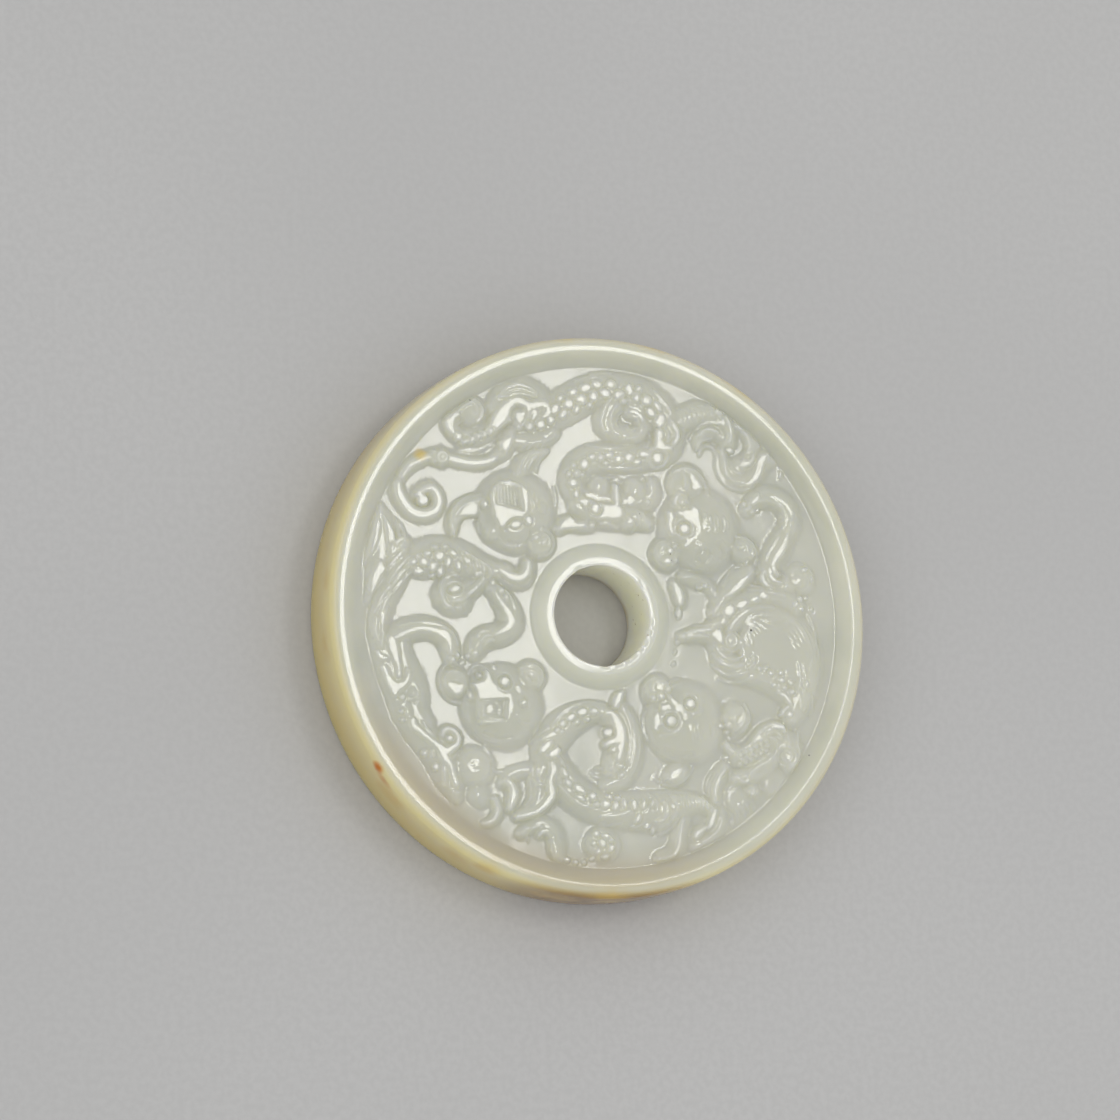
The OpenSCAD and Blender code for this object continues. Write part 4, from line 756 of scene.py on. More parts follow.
def right_beast():
    """Beast down the right side, with its mane, arm, raised leg, wing arch and head."""
    # mane and scales
    band(0.46, 0.5, [(7.95, 3.5, 0.05), (8.15, 3.1, 0.2), (8.4, 2.6, 0.28), (8.5, 2.0, 0.28), (8.55, 1.55, 0.12)])
    beads(0.34, [(8.4, 0.5, 0.48, 0.26, 88)], moat=0.1)
    mound(0.34, [(9.0, 4.3, 0.7), (10.2, 4.0, 0.9), (11.6, 3.4, 0.8), (12.4, 2.4, 0.6)])
    beads(0.12, [(10.75, 3.2, 0.26, 0.16, 10), (11.35, 3.35, 0.22, 0.16, 10)])
    line(0.09, 0.08, (8.9, 4.15), (9.7, 4.3), (10.5, 4.2), foot=0.16)
    mound(0.5, [(12.2, 0.6, 0.7), (13.2, 2.0, 1.1), (14.3, 3.3, 1.3), (15.4, 4.3, 1.2), (16.2, 5.0, 0.9)])
    plate(0.58, 0.2, [(13.25, 2.35), (13.9, 2.95), (14.5, 3.65), (15.3, 4.35), (16.2, 4.75), (15.9, 4.1), (15.15, 3.2), (14.4, 2.6),
                      (13.7, 2.3)])
    line(0.08, 0.07, (13.3, 3.5), (14.0, 4.6), (14.9, 5.5), (15.7, 5.7), foot=0.16)
    line(0.07, 0.06, (16.2, 3.6), (17.0, 3.4), (18.0, 3.3), foot=0.16)
    line(0.07, 0.06, (15.8, 3.1), (16.8, 3.0), (18.2, 2.9), (19.8, 2.6), foot=0.16)
    mound(0.56, [(11.4, -1.0, 0.6), (12.8, -0.3, 1.1), (13.9, 0.9, 1.4), (15.6, 1.7, 1.5), (17.4, 2.3, 1.5), (19.2, 2.4, 1.5),
                 (20.9, 1.6, 1.4)])
    plate(0.6, 0.14, [(12.7, -0.5), (12.85, 0.1), (13.2, 0.35), (13.4, -0.2), (13.2, -0.6)])
    plate(0.64, 0.14, [(13.05, 0.85), (13.3, 1.25), (13.9, 1.55), (14.35, 1.2), (14.3, 0.6), (13.75, 0.25), (13.3, 0.4)])
    plate(0.66, 0.14, [(14.4, 1.4), (14.75, 1.8), (15.5, 2.05), (15.85, 1.75), (15.5, 1.25), (14.95, 0.95)])
    plate(0.66, 0.14, [(15.95, 1.8), (16.2, 2.3), (16.85, 2.5), (17.1, 2.15), (16.6, 1.75)])
    plate(0.66, 0.14, [(16.95, 2.6), (17.4, 3.05), (18.1, 2.5), (17.75, 2.1), (17.25, 2.2)])
    # back, with its long folds
    mound(0.51, [(13.6, -1.4, 0.7), (15.0, 0.1, 1.3), (17.0, 0.7, 1.7), (19.2, 0.2, 1.9), (21.0, -1.4, 2.0), (21.9, -3.6, 2.0),
                 (21.8, -6.0, 1.9), (21.0, -8.2, 1.7), (20.2, -9.8, 1.2)])
    boss(18.7, -2.9, 4.2, 0.5, foot=0.5, rise=0.0)
    line(0.12, 0.18, (13.85, -0.95), (14.2, -0.3), (14.9, 0.35), (15.9, 1.0), (17.0, 1.3), (18.6, 1.3), foot=0.18, ends=(0.6, 0.2))
    for k in range(4):
        line(0.024 + 0.004 * k, 0.05, *ring(18.4, -3.2, 2.5 + 0.45 * k, 165 - 6 * k, 12 + 3 * k, squash=0.97), foot=0.2, ends=(0.3, 0.3))
    for k in range(4):
        line(0.03, 0.05, *ring(18.0, -3.6, 4.6 + 0.42 * k, 42 - 4 * k, -38 + k), foot=0.16, ends=(0.4, 0.4))
    line(0.05, 0.06, (21.15, -4.4), (21.25, -5.9), (20.9, -7.4), foot=0.14)
    line(0.05, 0.06, (21.65, -4.6), (21.8, -6.2), (21.4, -7.8), foot=0.14)
    line(0.06, 0.1, (14.9, -1.4), (15.3, -0.6), (16.2, 0.2), (17.4, 0.6), foot=0.16)
    # arm and jaw
    mound(0.5, [(8.6, -1.9, 0.6), (10.2, -1.6, 0.85), (11.9, -1.7, 1.2), (12.9, -2.9, 1.5), (13.4, -4.2, 1.6), (15.0, -5.2, 1.5),
                (17.0, -5.7, 1.5), (18.9, -6.5, 1.6), (20.2, -7.6, 1.5)])
    line(0.13, 0.15, (9.1, -1.5), (10.0, -1.25), (11.1, -1.12), (12.3, -1.05), foot=0.16)
    line(0.11, 0.1, (9.2, -1.95), (10.2, -1.75), (11.3, -1.8), foot=0.14)
    plate(0.6, 0.18, [(11.6, -1.55), (12.0, -1.2), (12.85, -1.0), (13.0, -1.7), (12.95, -2.55), (12.5, -2.45), (12.1, -2.0)])
    line(0.08, 0.07, (10.0, -0.75), (11.4, -0.7), (12.6, -0.4), foot=0.14)
    boss(13.9, -2.2, 1.15, 0.4, foot=0.4, rise=0.26)
    line(0.1, 0.06, *ring(13.9, -2.2, 0.62), foot=0.12)
    line(0.14, 0.15, (14.45, -1.4), (14.85, -1.9), (14.9, -2.5), (14.5, -3.0), (13.8, -3.2), (13.1, -2.95), foot=0.16, ends=(0.4, 0.3))
    line(0.11, 0.11, (12.25, -2.8), (12.6, -3.5), (13.3, -3.95), (14.2, -4.05), (15.0, -3.75), foot=0.14, ends=(0.5, 0.3))
    line(0.11, 0.12, (12.0, -3.5), (12.5, -4.25), (13.4, -4.7), (14.4, -4.75), (15.2, -4.45), foot=0.14, ends=(0.5, 0.3))
    line(0.1, 0.1, (11.8, -4.7), (12.6, -5.3), (13.5, -5.65), (14.5, -5.6), (15.4, -5.3), foot=0.14, ends=(0.5, 0.3))
    line(0.07, 0.07, (12.4, -6.0), (13.6, -6.4), (15.0, -6.3), (16.2, -5.9), foot=0.16)
    line(0.08, 0.06, (15.7, -4.9), (16.2, -4.4), (16.3, -3.6), foot=0.14)
    boss(20.0, -9.6, 1.1, 0.34, foot=0.6, rise=0.18, point=1.0)
    plate(0.56, 0.14, [(18.85, -7.25), (19.5, -7.4), (20.05, -7.9), (20.3, -8.6), (19.95, -8.65), (19.65, -8.15), (19.3, -7.75), (18.85, -7.5)])
    plate(0.54, 0.14, [(20.1, -8.7), (19.6, -8.75), (19.15, -9.15), (19.0, -9.75), (19.3, -9.75), (19.45, -9.35), (19.8, -9.05), (20.15, -8.95)])
    beads(0.1, [(8.2, -2.45, 0.26, 0.18, 40), (7.9, -3.4, 0.26, 0.14, 60), (7.7, -4.6, 0.28, 0.14, 40), (16.2, -4.0, 0.2, 0.16, 60),
                (16.8, -5.0, 0.24, 0.18, 0), (17.5, -4.9, 0.24, 0.16, 0), (18.1, -5.4, 0.26, 0.2, 0), (19.15, -5.35, 0.24, 0.18, 0),
                (19.2, -6.15, 0.26, 0.2, 0), (20.25, -6.4, 0.24, 0.18, 0), (20.3, -7.3, 0.26, 0.2, 0), (18.4, -6.6, 0.22, 0.16, 0),
                (21.9, -6.5, 0.3, 0.14, 80), (19.95, -9.6, 0.3, 0.26, 0), (19.5, -6.9, 0.18, 0.14, 0)], foot=0.11)
    for k in range(4):
        line(0.08, 0.09, (21.3 + 0.42 * k, -6.9 - 0.25 * k), (21.5 + 0.36 * k, -7.9 - 0.25 * k), (21.3 + 0.32 * k, -9.0 - 0.2 * k),
             foot=0.12)
    # raised leg
    mound(0.5, [(16.2, 11.4, 0.9), (17.2, 12.4, 1.1), (18.8, 12.7, 1.2), (20.3, 11.7, 1.3), (20.8, 10.3, 1.2), (20.3, 9.0, 1.2)])
    plate(0.6, 0.16, [(16.25, 11.85), (16.65, 12.45), (17.4, 13.05), (17.5, 12.5), (17.2, 12.05), (16.7, 11.7)])
    beads(0.11, [(16.2, 11.4, 0.28, 0.18, 30), (16.75, 11.15, 0.26, 0.18, 20), (15.8, 11.9, 0.22, 0.16, 60),
                 (17.3, 11.3, 0.22, 0.14, 20)])
    plate(0.56, 0.18, [(18.3, 12.8), (19.2, 12.95), (20.1, 12.5), (20.75, 11.85), (21.1, 11.1), (20.9, 10.4), (20.6, 11.05),
                       (20.15, 11.75), (19.6, 12.25), (19.0, 12.55)])
    line(0.08, 0.07, (17.4, 12.2), (18.3, 12.3), (19.3, 12.0), (20.0, 11.3), (20.2, 10.3), (19.9, 9.4), foot=0.16)
    line(0.08, 0.08, (20.75, 10.1), (20.6, 9.4), (20.3, 8.9), foot=0.14)
    mound(0.5, [(20.3, 9.0, 1.2), (19.4, 7.4, 1.4), (18.6, 6.0, 1.4), (18.2, 4.6, 1.3), (18.8, 3.6, 1.2), (20.4, 3.6, 1.1)])
    band(0.62, 0.42, [(20.4, 9.0, 0.05), (20.2, 8.4, 0.18), (19.85, 7.6, 0.26), (19.4, 6.9, 0.3), (18.9, 6.3, 0.24),
                      (18.65, 5.7, 0.2), (18.75, 5.15, 0.16), (19.1, 4.75, 0.06)])
    line(0.08, 0.07, (19.3, 8.6), (18.8, 7.8), (18.2, 6.9), (17.9, 6.1), foot=0.16)
    plate(0.6, 0.13, [(18.1, 5.55), (17.98, 5.0), (18.1, 4.45), (18.5, 4.0), (19.1, 3.8), (19.7, 3.85), (19.05, 4.15), (18.65, 4.55),
                      (18.45, 5.0), (18.3, 5.5)])
    plate(0.56, 0.13, [(17.6, 5.2), (17.3, 4.7), (17.25, 4.15), (17.55, 3.65), (18.1, 3.35), (18.7, 3.25), (18.15, 3.7), (17.85, 4.15),
                       (17.75, 4.65), (17.8, 5.15)])
    line(0.09, 0.08, (19.6, 4.9), (20.1, 4.4), (20.2, 3.8), (19.9, 3.3), foot=0.14)
    boss(21.6, 4.2, 2.0, 0.3, foot=1.0, rise=0.24, point=1.0)
    line(0.05, 0.05, *ring(21.6, 4.4, 1.45, -20, 110), foot=0.16)
    cut(0.05, 0.05, *ring(21.6, 4.2, 0.8, -120, 150), foot=0.16)
    beads(0.1, [(21.6, 2.3, 0.28, 0.18, 0), (21.0, 1.65, 0.3, 0.16, 60), (22.3, 2.4, 0.22, 0.16, 0), (21.7, 1.25, 0.24, 0.16, 30),
                (22.2, 5.3, 0.26, 0.14, 0), (23.0, 4.4, 0.24, 0.1, 90), (22.9, 1.3, 0.22, 0.14, 90)],
          foot=0.11)
    line(0.08, 0.06, (22.6, 0.6), (23.1, -0.8), (23.2, -2.4), foot=0.16)
    # head
    mound(0.52, [(13.1, -12.8, 0.5), (14.4, -13.9, 1.2), (15.9, -13.7, 1.6), (17.4, -12.6, 1.8), (18.8, -12.3, 1.8),
                 (20.0, -13.3, 1.6), (19.9, -14.6, 1.3)])
    mound(0.48, [(14.1, -16.2, 0.8), (15.3, -15.9, 1.1), (16.8, -15.0, 1.3), (18.0, -14.0, 1.2)])
    line(0.12, 0.14, (13.05, -12.6), (13.25, -13.15), (13.75, -13.6), foot=0.16, ends=(0.5, 0.5))
    band(0.64, 0.4, [(13.9, -13.66, 0.08), (14.7, -13.52, 0.17), (15.45, -13.12, 0.2), (16.05, -12.6, 0.24), (16.5, -12.0, 0.28),
                     (17.0, -11.45, 0.26), (17.6, -11.05, 0.24), (18.3, -10.8, 0.2), (18.95, -10.85, 0.14), (19.3, -11.25, 0.05)])
    plate(0.62, 0.16, [(16.8, -11.8), (17.2, -11.2), (17.9, -10.8), (18.6, -10.6), (19.25, -10.75), (19.45, -11.35), (18.95, -11.1),
                       (18.2, -11.1), (17.6, -11.4)])
    plate(0.56, 0.16, [(13.8, -13.85), (14.6, -13.8), (15.3, -13.4), (16.0, -12.9), (15.75, -12.6), (15.1, -12.95), (14.4, -13.35)])
    line(0.11, 0.12, (17.4, -11.65), (18.0, -11.4), (18.55, -11.45), (18.95, -11.9), foot=0.14)
    line(0.11, 0.14, (16.75, -12.35), (17.25, -12.05), (17.9, -12.0), (18.4, -12.3), foot=0.14)
    line(0.1, 0.1, (18.5, -12.6), (18.35, -13.5), (17.7, -14.2), (17.0, -14.6), (16.3, -15.0), (15.6, -15.6), (15.35, -16.0), foot=0.14)
    beads(0.08, [(14.5 + 0.55 * i + 0.2 * (j % 2), -14.75 + 0.48 * j + 0.28 * i, 0.17, 0.15, 0) for i in range(6) for j in range(3)],
          foot=0.1)
    line(0.1, 0.1, (14.0, -15.95), (14.4, -16.3), (14.95, -16.5), (15.35, -16.35), foot=0.14)
    boss(15.8, -17.4, 1.0, 0.3, foot=0.6, rise=0.12)
    beads(0.1, [(15.75, -17.55, 0.32, 0.16, 60), (13.0, -14.1, 0.26, 0.22, 0)])
    line(0.1, 0.07, *ring(19.55, -13.9, 0.5), foot=0.12)
    beads(0.08, [(19.55, -13.9, 0.22, 0.2, 0)], moat=0.2)
    line(0.08, 0.07, *ring(19.55, -13.9, 1.0, -60, 250), foot=0.14)
    line(0.08, 0.07, (20.8, -12.7), (20.95, -13.6), (20.5, -14.6), (19.7, -15.1), foot=0.14)
    line(0.1, 0.09, (20.95, -11.2), (20.9, -11.9), (20.8, -12.5), foot=0.14)
    line(0.09, 0.08, (19.65, -11.7), (19.8, -12.4), (19.7, -12.9), foot=0.14)
    mound(0.36, [(12.9, -15.0, 0.7), (12.2, -16.0, 0.9), (11.8, -17.2, 0.9), (11.8, -18.5, 0.8)])
    line(0.14, 0.17, (12.8, -15.35), (12.25, -16.0), (11.85, -16.9), (11.65, -17.7), (11.7, -18.5), foot=0.18, ends=(0.3, 0.3))
    line(0.07, 0.06, (11.9, -15.7), (11.35, -16.5), (11.15, -17.4), (11.2, -18.1), foot=0.14)
    line(0.07, 0.06, (11.4, -15.6), (10.9, -16.6), (10.8, -17.5), foot=0.14)
    line(0.07, 0.05, (13.1, -17.4), (13.4, -17.0), (13.9, -16.8), foot=0.14)
    boss(14.0, -18.2, 1.7, 0.2, foot=0.9, rise=0.0)
    boss(18.2, -16.6, 1.8, 0.24, foot=0.9, rise=0.0)
    for k in range(5):
        line(0.06, 0.06, (13.2 + 0.55 * k, -19.6 + 0.35 * k), (13.6 + 0.55 * k, -20.1 + 0.35 * k), (13.7 + 0.55 * k, -20.8 + 0.4 * k), foot=0.14)
    line(0.07, 0.08, (20.6, -15.8), (21.2, -14.9), (21.7, -13.8), foot=0.16)


def soften(a, sigma):
    """A small Gaussian blur, as the last polishing leaves it. sigma is in cells."""
    n = int(3 * sigma + 1)
    k = np.exp(-0.5 * (np.arange(-n, n + 1) / sigma) ** 2)
    k /= k.sum()
    for axis in (0, 1):
        a = np.apply_along_axis(lambda v: np.convolve(np.pad(v, n, mode="edge"), k, mode="valid"), axis, a)
    return a


def left_climb(x, y):
    """How steeply the field climbs towards the rim, beyond CLIMB_R, down the left side."""
    return 0.1 * (1 - fall((np.cos(np.arctan2(y, x) - math.radians(202)) - 0.70) / 0.2))


def field_shift(angle):
    """How much farther out the field's edge lies at an angle: it was ground a little off centre."""
    return 0.08 * (1 + np.cos(angle - math.radians(35)))


def carve():
    """The whole field: every figure, then the slopes of the rim and collar."""
    for masses in (True, False):
        STAGE["masses"] = masses
        for figure in (top_beast, left_beast, low_beast, right_beast, head_one, head_two, head_three, head_four):
            figure()
        if masses:
            H[...] = soften(H, 2.4)
    r = np.hypot(GX, GY)
    far = r - field_shift(np.arctan2(GY, GX)) * np.clip((r - CLIMB_R) / (FIELD_R - CLIMB_R), 0, 1)
    left = left_climb(GX, GY)
    edge = np.clip((FIELD_R - 0.02 - far) / (0.42 + 9 * left), 0, 1)
    edge = edge * (2 - edge) * fall((COLLAR_R + 0.45 - r) / 0.4)
    climb = left * np.maximum(far - CLIMB_R, 0)
    # no hand-ground field is quite flat: a slow, slight unevenness
    rng = np.random.default_rng(7)
    for length in (2.2, 3.1, 4.3, 5.9):
        for _ in range(3):
            a, b, c = rng.uniform(0, 2 * np.pi, 3)
            wave = 2 * np.pi / length * (GX * math.cos(a) + GY * math.sin(a)) + b
            H[...] += 0.0011 * length ** 0.5 * np.sin(wave + 1.3 * np.sin(wave * 0.31 + c))
    h = soften(H, 1.25)
    over = np.maximum(h - 0.74, 0)
    h = np.minimum(h, 0.74) + 0.13 * np.tanh(over / 0.13)
    h = h * edge
    H[...] = 0.5 * (h + climb + np.sqrt((h - climb) ** 2 + 0.0004) - 0.02)
    return H
# --- end of the relief block ---------------------------------------------------

# --- the stone's own mesh ------------------------------------------------------
MM = 0.001
DISC_R, DISC_T, HOLE_R = 28.5, 7.4, 5.1
CREST_R, SHOULDER_H, FIELD_H = 27.4, 0.85, 0.95
CREST_IN, CREST_OUT, CREST_BEND = 26.95, 27.85, 5.0   # the rounded line on top of the rim, and its bending radius
LIP_R, LIP_Z, HOLE_ROUND, HOLE_BEVEL, BACK_ROUND = 5.95, 7.35, 0.12, 0.4, 0.6
LIP_TOP, LIP_BEND_IN, LIP_BEND_OUT = 5.4, 3.0, 9.0    # radius of the lip's highest line, and its bending radii
FIELD_Z = DISC_T - FIELD_H
TURNS = 1536                      # finest cells round the disc
TOP_LEVEL = 4                     # a cell of level n spans 2**n finest cells
MOST_TRIANGLES = 197000

# The closed section of the stone, from the back edge of the hole round to itself.
# Columns: stretch, finest rows in it, level of its cells where nothing is carved
STRETCHES = (
    ("hole_bevel", 16, 3),
    ("hole_wall", 64, 3),
    ("hole_round", 32, 3),
    ("lip", 64, 3),
    ("collar", 64, 3),
    ("field", 304, 3),
    ("rim_slope", 64, 3),
    ("crest", 32, 2),
    ("shoulder", 64, 3),
    ("outer_wall", 48, 3),
    ("back_round", 16, 2),
    ("back", 64, 4),
)


def stretch_points(name, t):
    """Radius and height along one stretch of the section, for t from 0 to 1."""
    q = 0.5 * np.pi * t
    if name == "hole_bevel":
        return HOLE_R + HOLE_BEVEL * (1 - t) ** 1.3, HOLE_BEVEL * t ** 1.3
    if name == "hole_wall":
        return HOLE_R + 0 * t, HOLE_BEVEL + (LIP_Z - HOLE_ROUND - HOLE_BEVEL) * t
    lip = lambda r: LIP_Z - (r - LIP_TOP) ** 2 / 2 / np.where(r < LIP_TOP, LIP_BEND_IN, LIP_BEND_OUT)
    edge = HOLE_R + HOLE_ROUND
    if name == "hole_round":
        return HOLE_R + HOLE_ROUND * (1 - np.cos(q)), lip(edge) - HOLE_ROUND * (1 - np.sin(q))
    if name == "lip":
        r = edge + (LIP_R - edge) * t
        return r, lip(r)
    if name == "collar":
        r = LIP_R * (COLLAR_R / LIP_R) ** t
        v = (COLLAR_R - r) / (COLLAR_R - LIP_R)
        return r, FIELD_Z + (lip(LIP_R) - FIELD_Z) * (1.6 * v * v - 0.6 * v ** 3)
    if name == "field":
        return COLLAR_R * (FIELD_R / COLLAR_R) ** t, FIELD_Z + 0 * t
    inner, outer = ((CREST_IN - CREST_R) ** 2 / 2 / CREST_BEND, (CREST_OUT - CREST_R) ** 2 / 2 / CREST_BEND)
    if name == "rim_slope":
        return FIELD_R + (CREST_IN - FIELD_R) * t, FIELD_Z + (FIELD_H - inner) * (0.55 * t * t + 0.45 * t)
    if name == "crest":
        r = CREST_IN + (CREST_OUT - CREST_IN) * t
        return r, DISC_T - (r - CREST_R) ** 2 / 2 / CREST_BEND
    if name == "shoulder":
        return CREST_OUT + (DISC_R - 0.10 - CREST_OUT) * np.sin(q), DISC_T - outer - (SHOULDER_H - outer) * (1 - np.cos(q)) ** 0.8
    if name == "outer_wall":
        z = DISC_T - SHOULDER_H + (BACK_ROUND - DISC_T + SHOULDER_H) * t
        return DISC_R - 0.10 * (2 * t - 1) ** 4, z
    if name == "back_round":
        return (DISC_R - 0.10 - (BACK_ROUND - 0.10) * (1 - np.cos(q))), BACK_ROUND * (1 - np.sin(q))
    return DISC_R - BACK_ROUND + (HOLE_R + HOLE_BEVEL - DISC_R + BACK_ROUND) * t, 0 * t


def section_rows():
    """Radius, height and stretch number of every finest row of the closed section."""
    r, z, kind = [], [], []
    for n, (name, count, _) in enumerate(STRETCHES):
        a, b = stretch_points(name, np.arange(count) / count)
        r.append(a), z.append(b), kind.append(np.full(count, n))
    return np.concatenate(r), np.concatenate(z), np.concatenate(kind)


def sample(raster, x, y):
    """The raster's value at any place, from its four nearest cells."""
    u, v = (x + HALF) / PITCH, (y + HALF) / PITCH
    i, j = np.clip(u.astype(int), 0, COUNT - 2), np.clip(v.astype(int), 0, COUNT - 2)
    a, b = u - i, v - j
    return ((raster[j, i] * (1 - a) + raster[j, i + 1] * a) * (1 - b)
            + (raster[j + 1, i] * (1 - a) + raster[j + 1, i + 1] * a) * b)


def chips(angle, r, z, kind):
    """Small nicks in the front edge of the hole, as worn there. Columns: angle, length, depth, share inward."""
    d = np.zeros_like(r)
    for a, length, depth in ((-72, 4.0, 0.10), (-61, 3.0, 0.14), (-52, 4.5, 0.10), (-40, 3.0, 0.13), (-31, 5.0, 0.09),
                             (-18, 3.0, 0.10), (-6, 4.0, 0.07), (-88, 5.0, 0.06), (38, 4.0, 0.05), (117, 5.0, 0.06)):
        off = (np.degrees(angle) - a + 180) % 360 - 180
        d = np.maximum(d, depth * np.exp(-(off / length) ** 4))
    near = np.exp(-(((r - HOLE_R) / 0.30) ** 2)) * np.exp(-(((z - LIP_Z + 0.06) / 0.28) ** 2))
    return d * near


def split_levels(need):
    """Which blocks of each level are split, so that neighbours differ by one level at most."""
    split = [np.zeros_like(need, bool)]
    for level in range(1, TOP_LEVEL + 1):
        q = 2 ** level
        rows, cols = need.shape[0] // q, need.shape[1] // q
        own = (need.reshape(rows, q, cols, q) < level).any(axis=(1, 3))
        below = split[-1]
        spread = below.copy()
        for dj in (-1, 0, 1):
            for di in (-1, 0, 1):
                spread |= np.roll(below, (dj, di), (0, 1))
        own |= spread.reshape(rows, 2, cols, 2).any(axis=(1, 3))
        split.append(own)
    return split


def leaves(split):
    """The cells that are kept, level by level, as (level, row, column) in blocks."""
    for level in range(TOP_LEVEL + 1):
        kept = ~split[level]
        if level < TOP_LEVEL:
            kept &= np.repeat(np.repeat(split[level + 1], 2, 0), 2, 1)
        j, i = np.nonzero(kept)
        yield level, j, i


def cell_faces(split, rows, cols):
    """Faces of all kept cells as finest grid indices: quads, and fans where a neighbour is finer."""
    quads, tris = [], []
    for level, j, i in leaves(split):
        q = 2 ** level
        nj, ni = split[level].shape
        sides = (((j - 1) % nj, i), (j, (i + 1) % ni), ((j + 1) % nj, i), (j, (i - 1) % ni))
        finer = [split[level][a, b] for a, b in sides]
        j0, i0 = j * q, i * q
        corner = [(j0, i0), (j0, i0 + q), (j0 + q, i0 + q), (j0 + q, i0)]
        key = [(a % rows) * cols + b % cols for a, b in corner]
        plain = ~(finer[0] | finer[1] | finer[2] | finer[3])
        quads.append(np.stack([k[plain] for k in key], 1))
        if level == 0 or plain.all():
            continue
        h = q // 2
        mid = [(j0, i0 + h), (j0 + h, i0 + q), (j0 + q, i0 + h), (j0 + h, i0)]
        mid = [(a % rows) * cols + b % cols for a, b in mid]
        centre = (j0 + h) * cols + i0 + h
        for s in range(4):
            a, b = key[s], key[(s + 1) % 4]
            whole, half = ~plain & ~finer[s], ~plain & finer[s]
            tris.append(np.stack([centre[whole], a[whole], b[whole]], 1))
            tris.append(np.stack([centre[half], a[half], mid[s][half]], 1))
            tris.append(np.stack([centre[half], mid[s][half], b[half]], 1))
    return np.concatenate(quads), np.concatenate(tris)


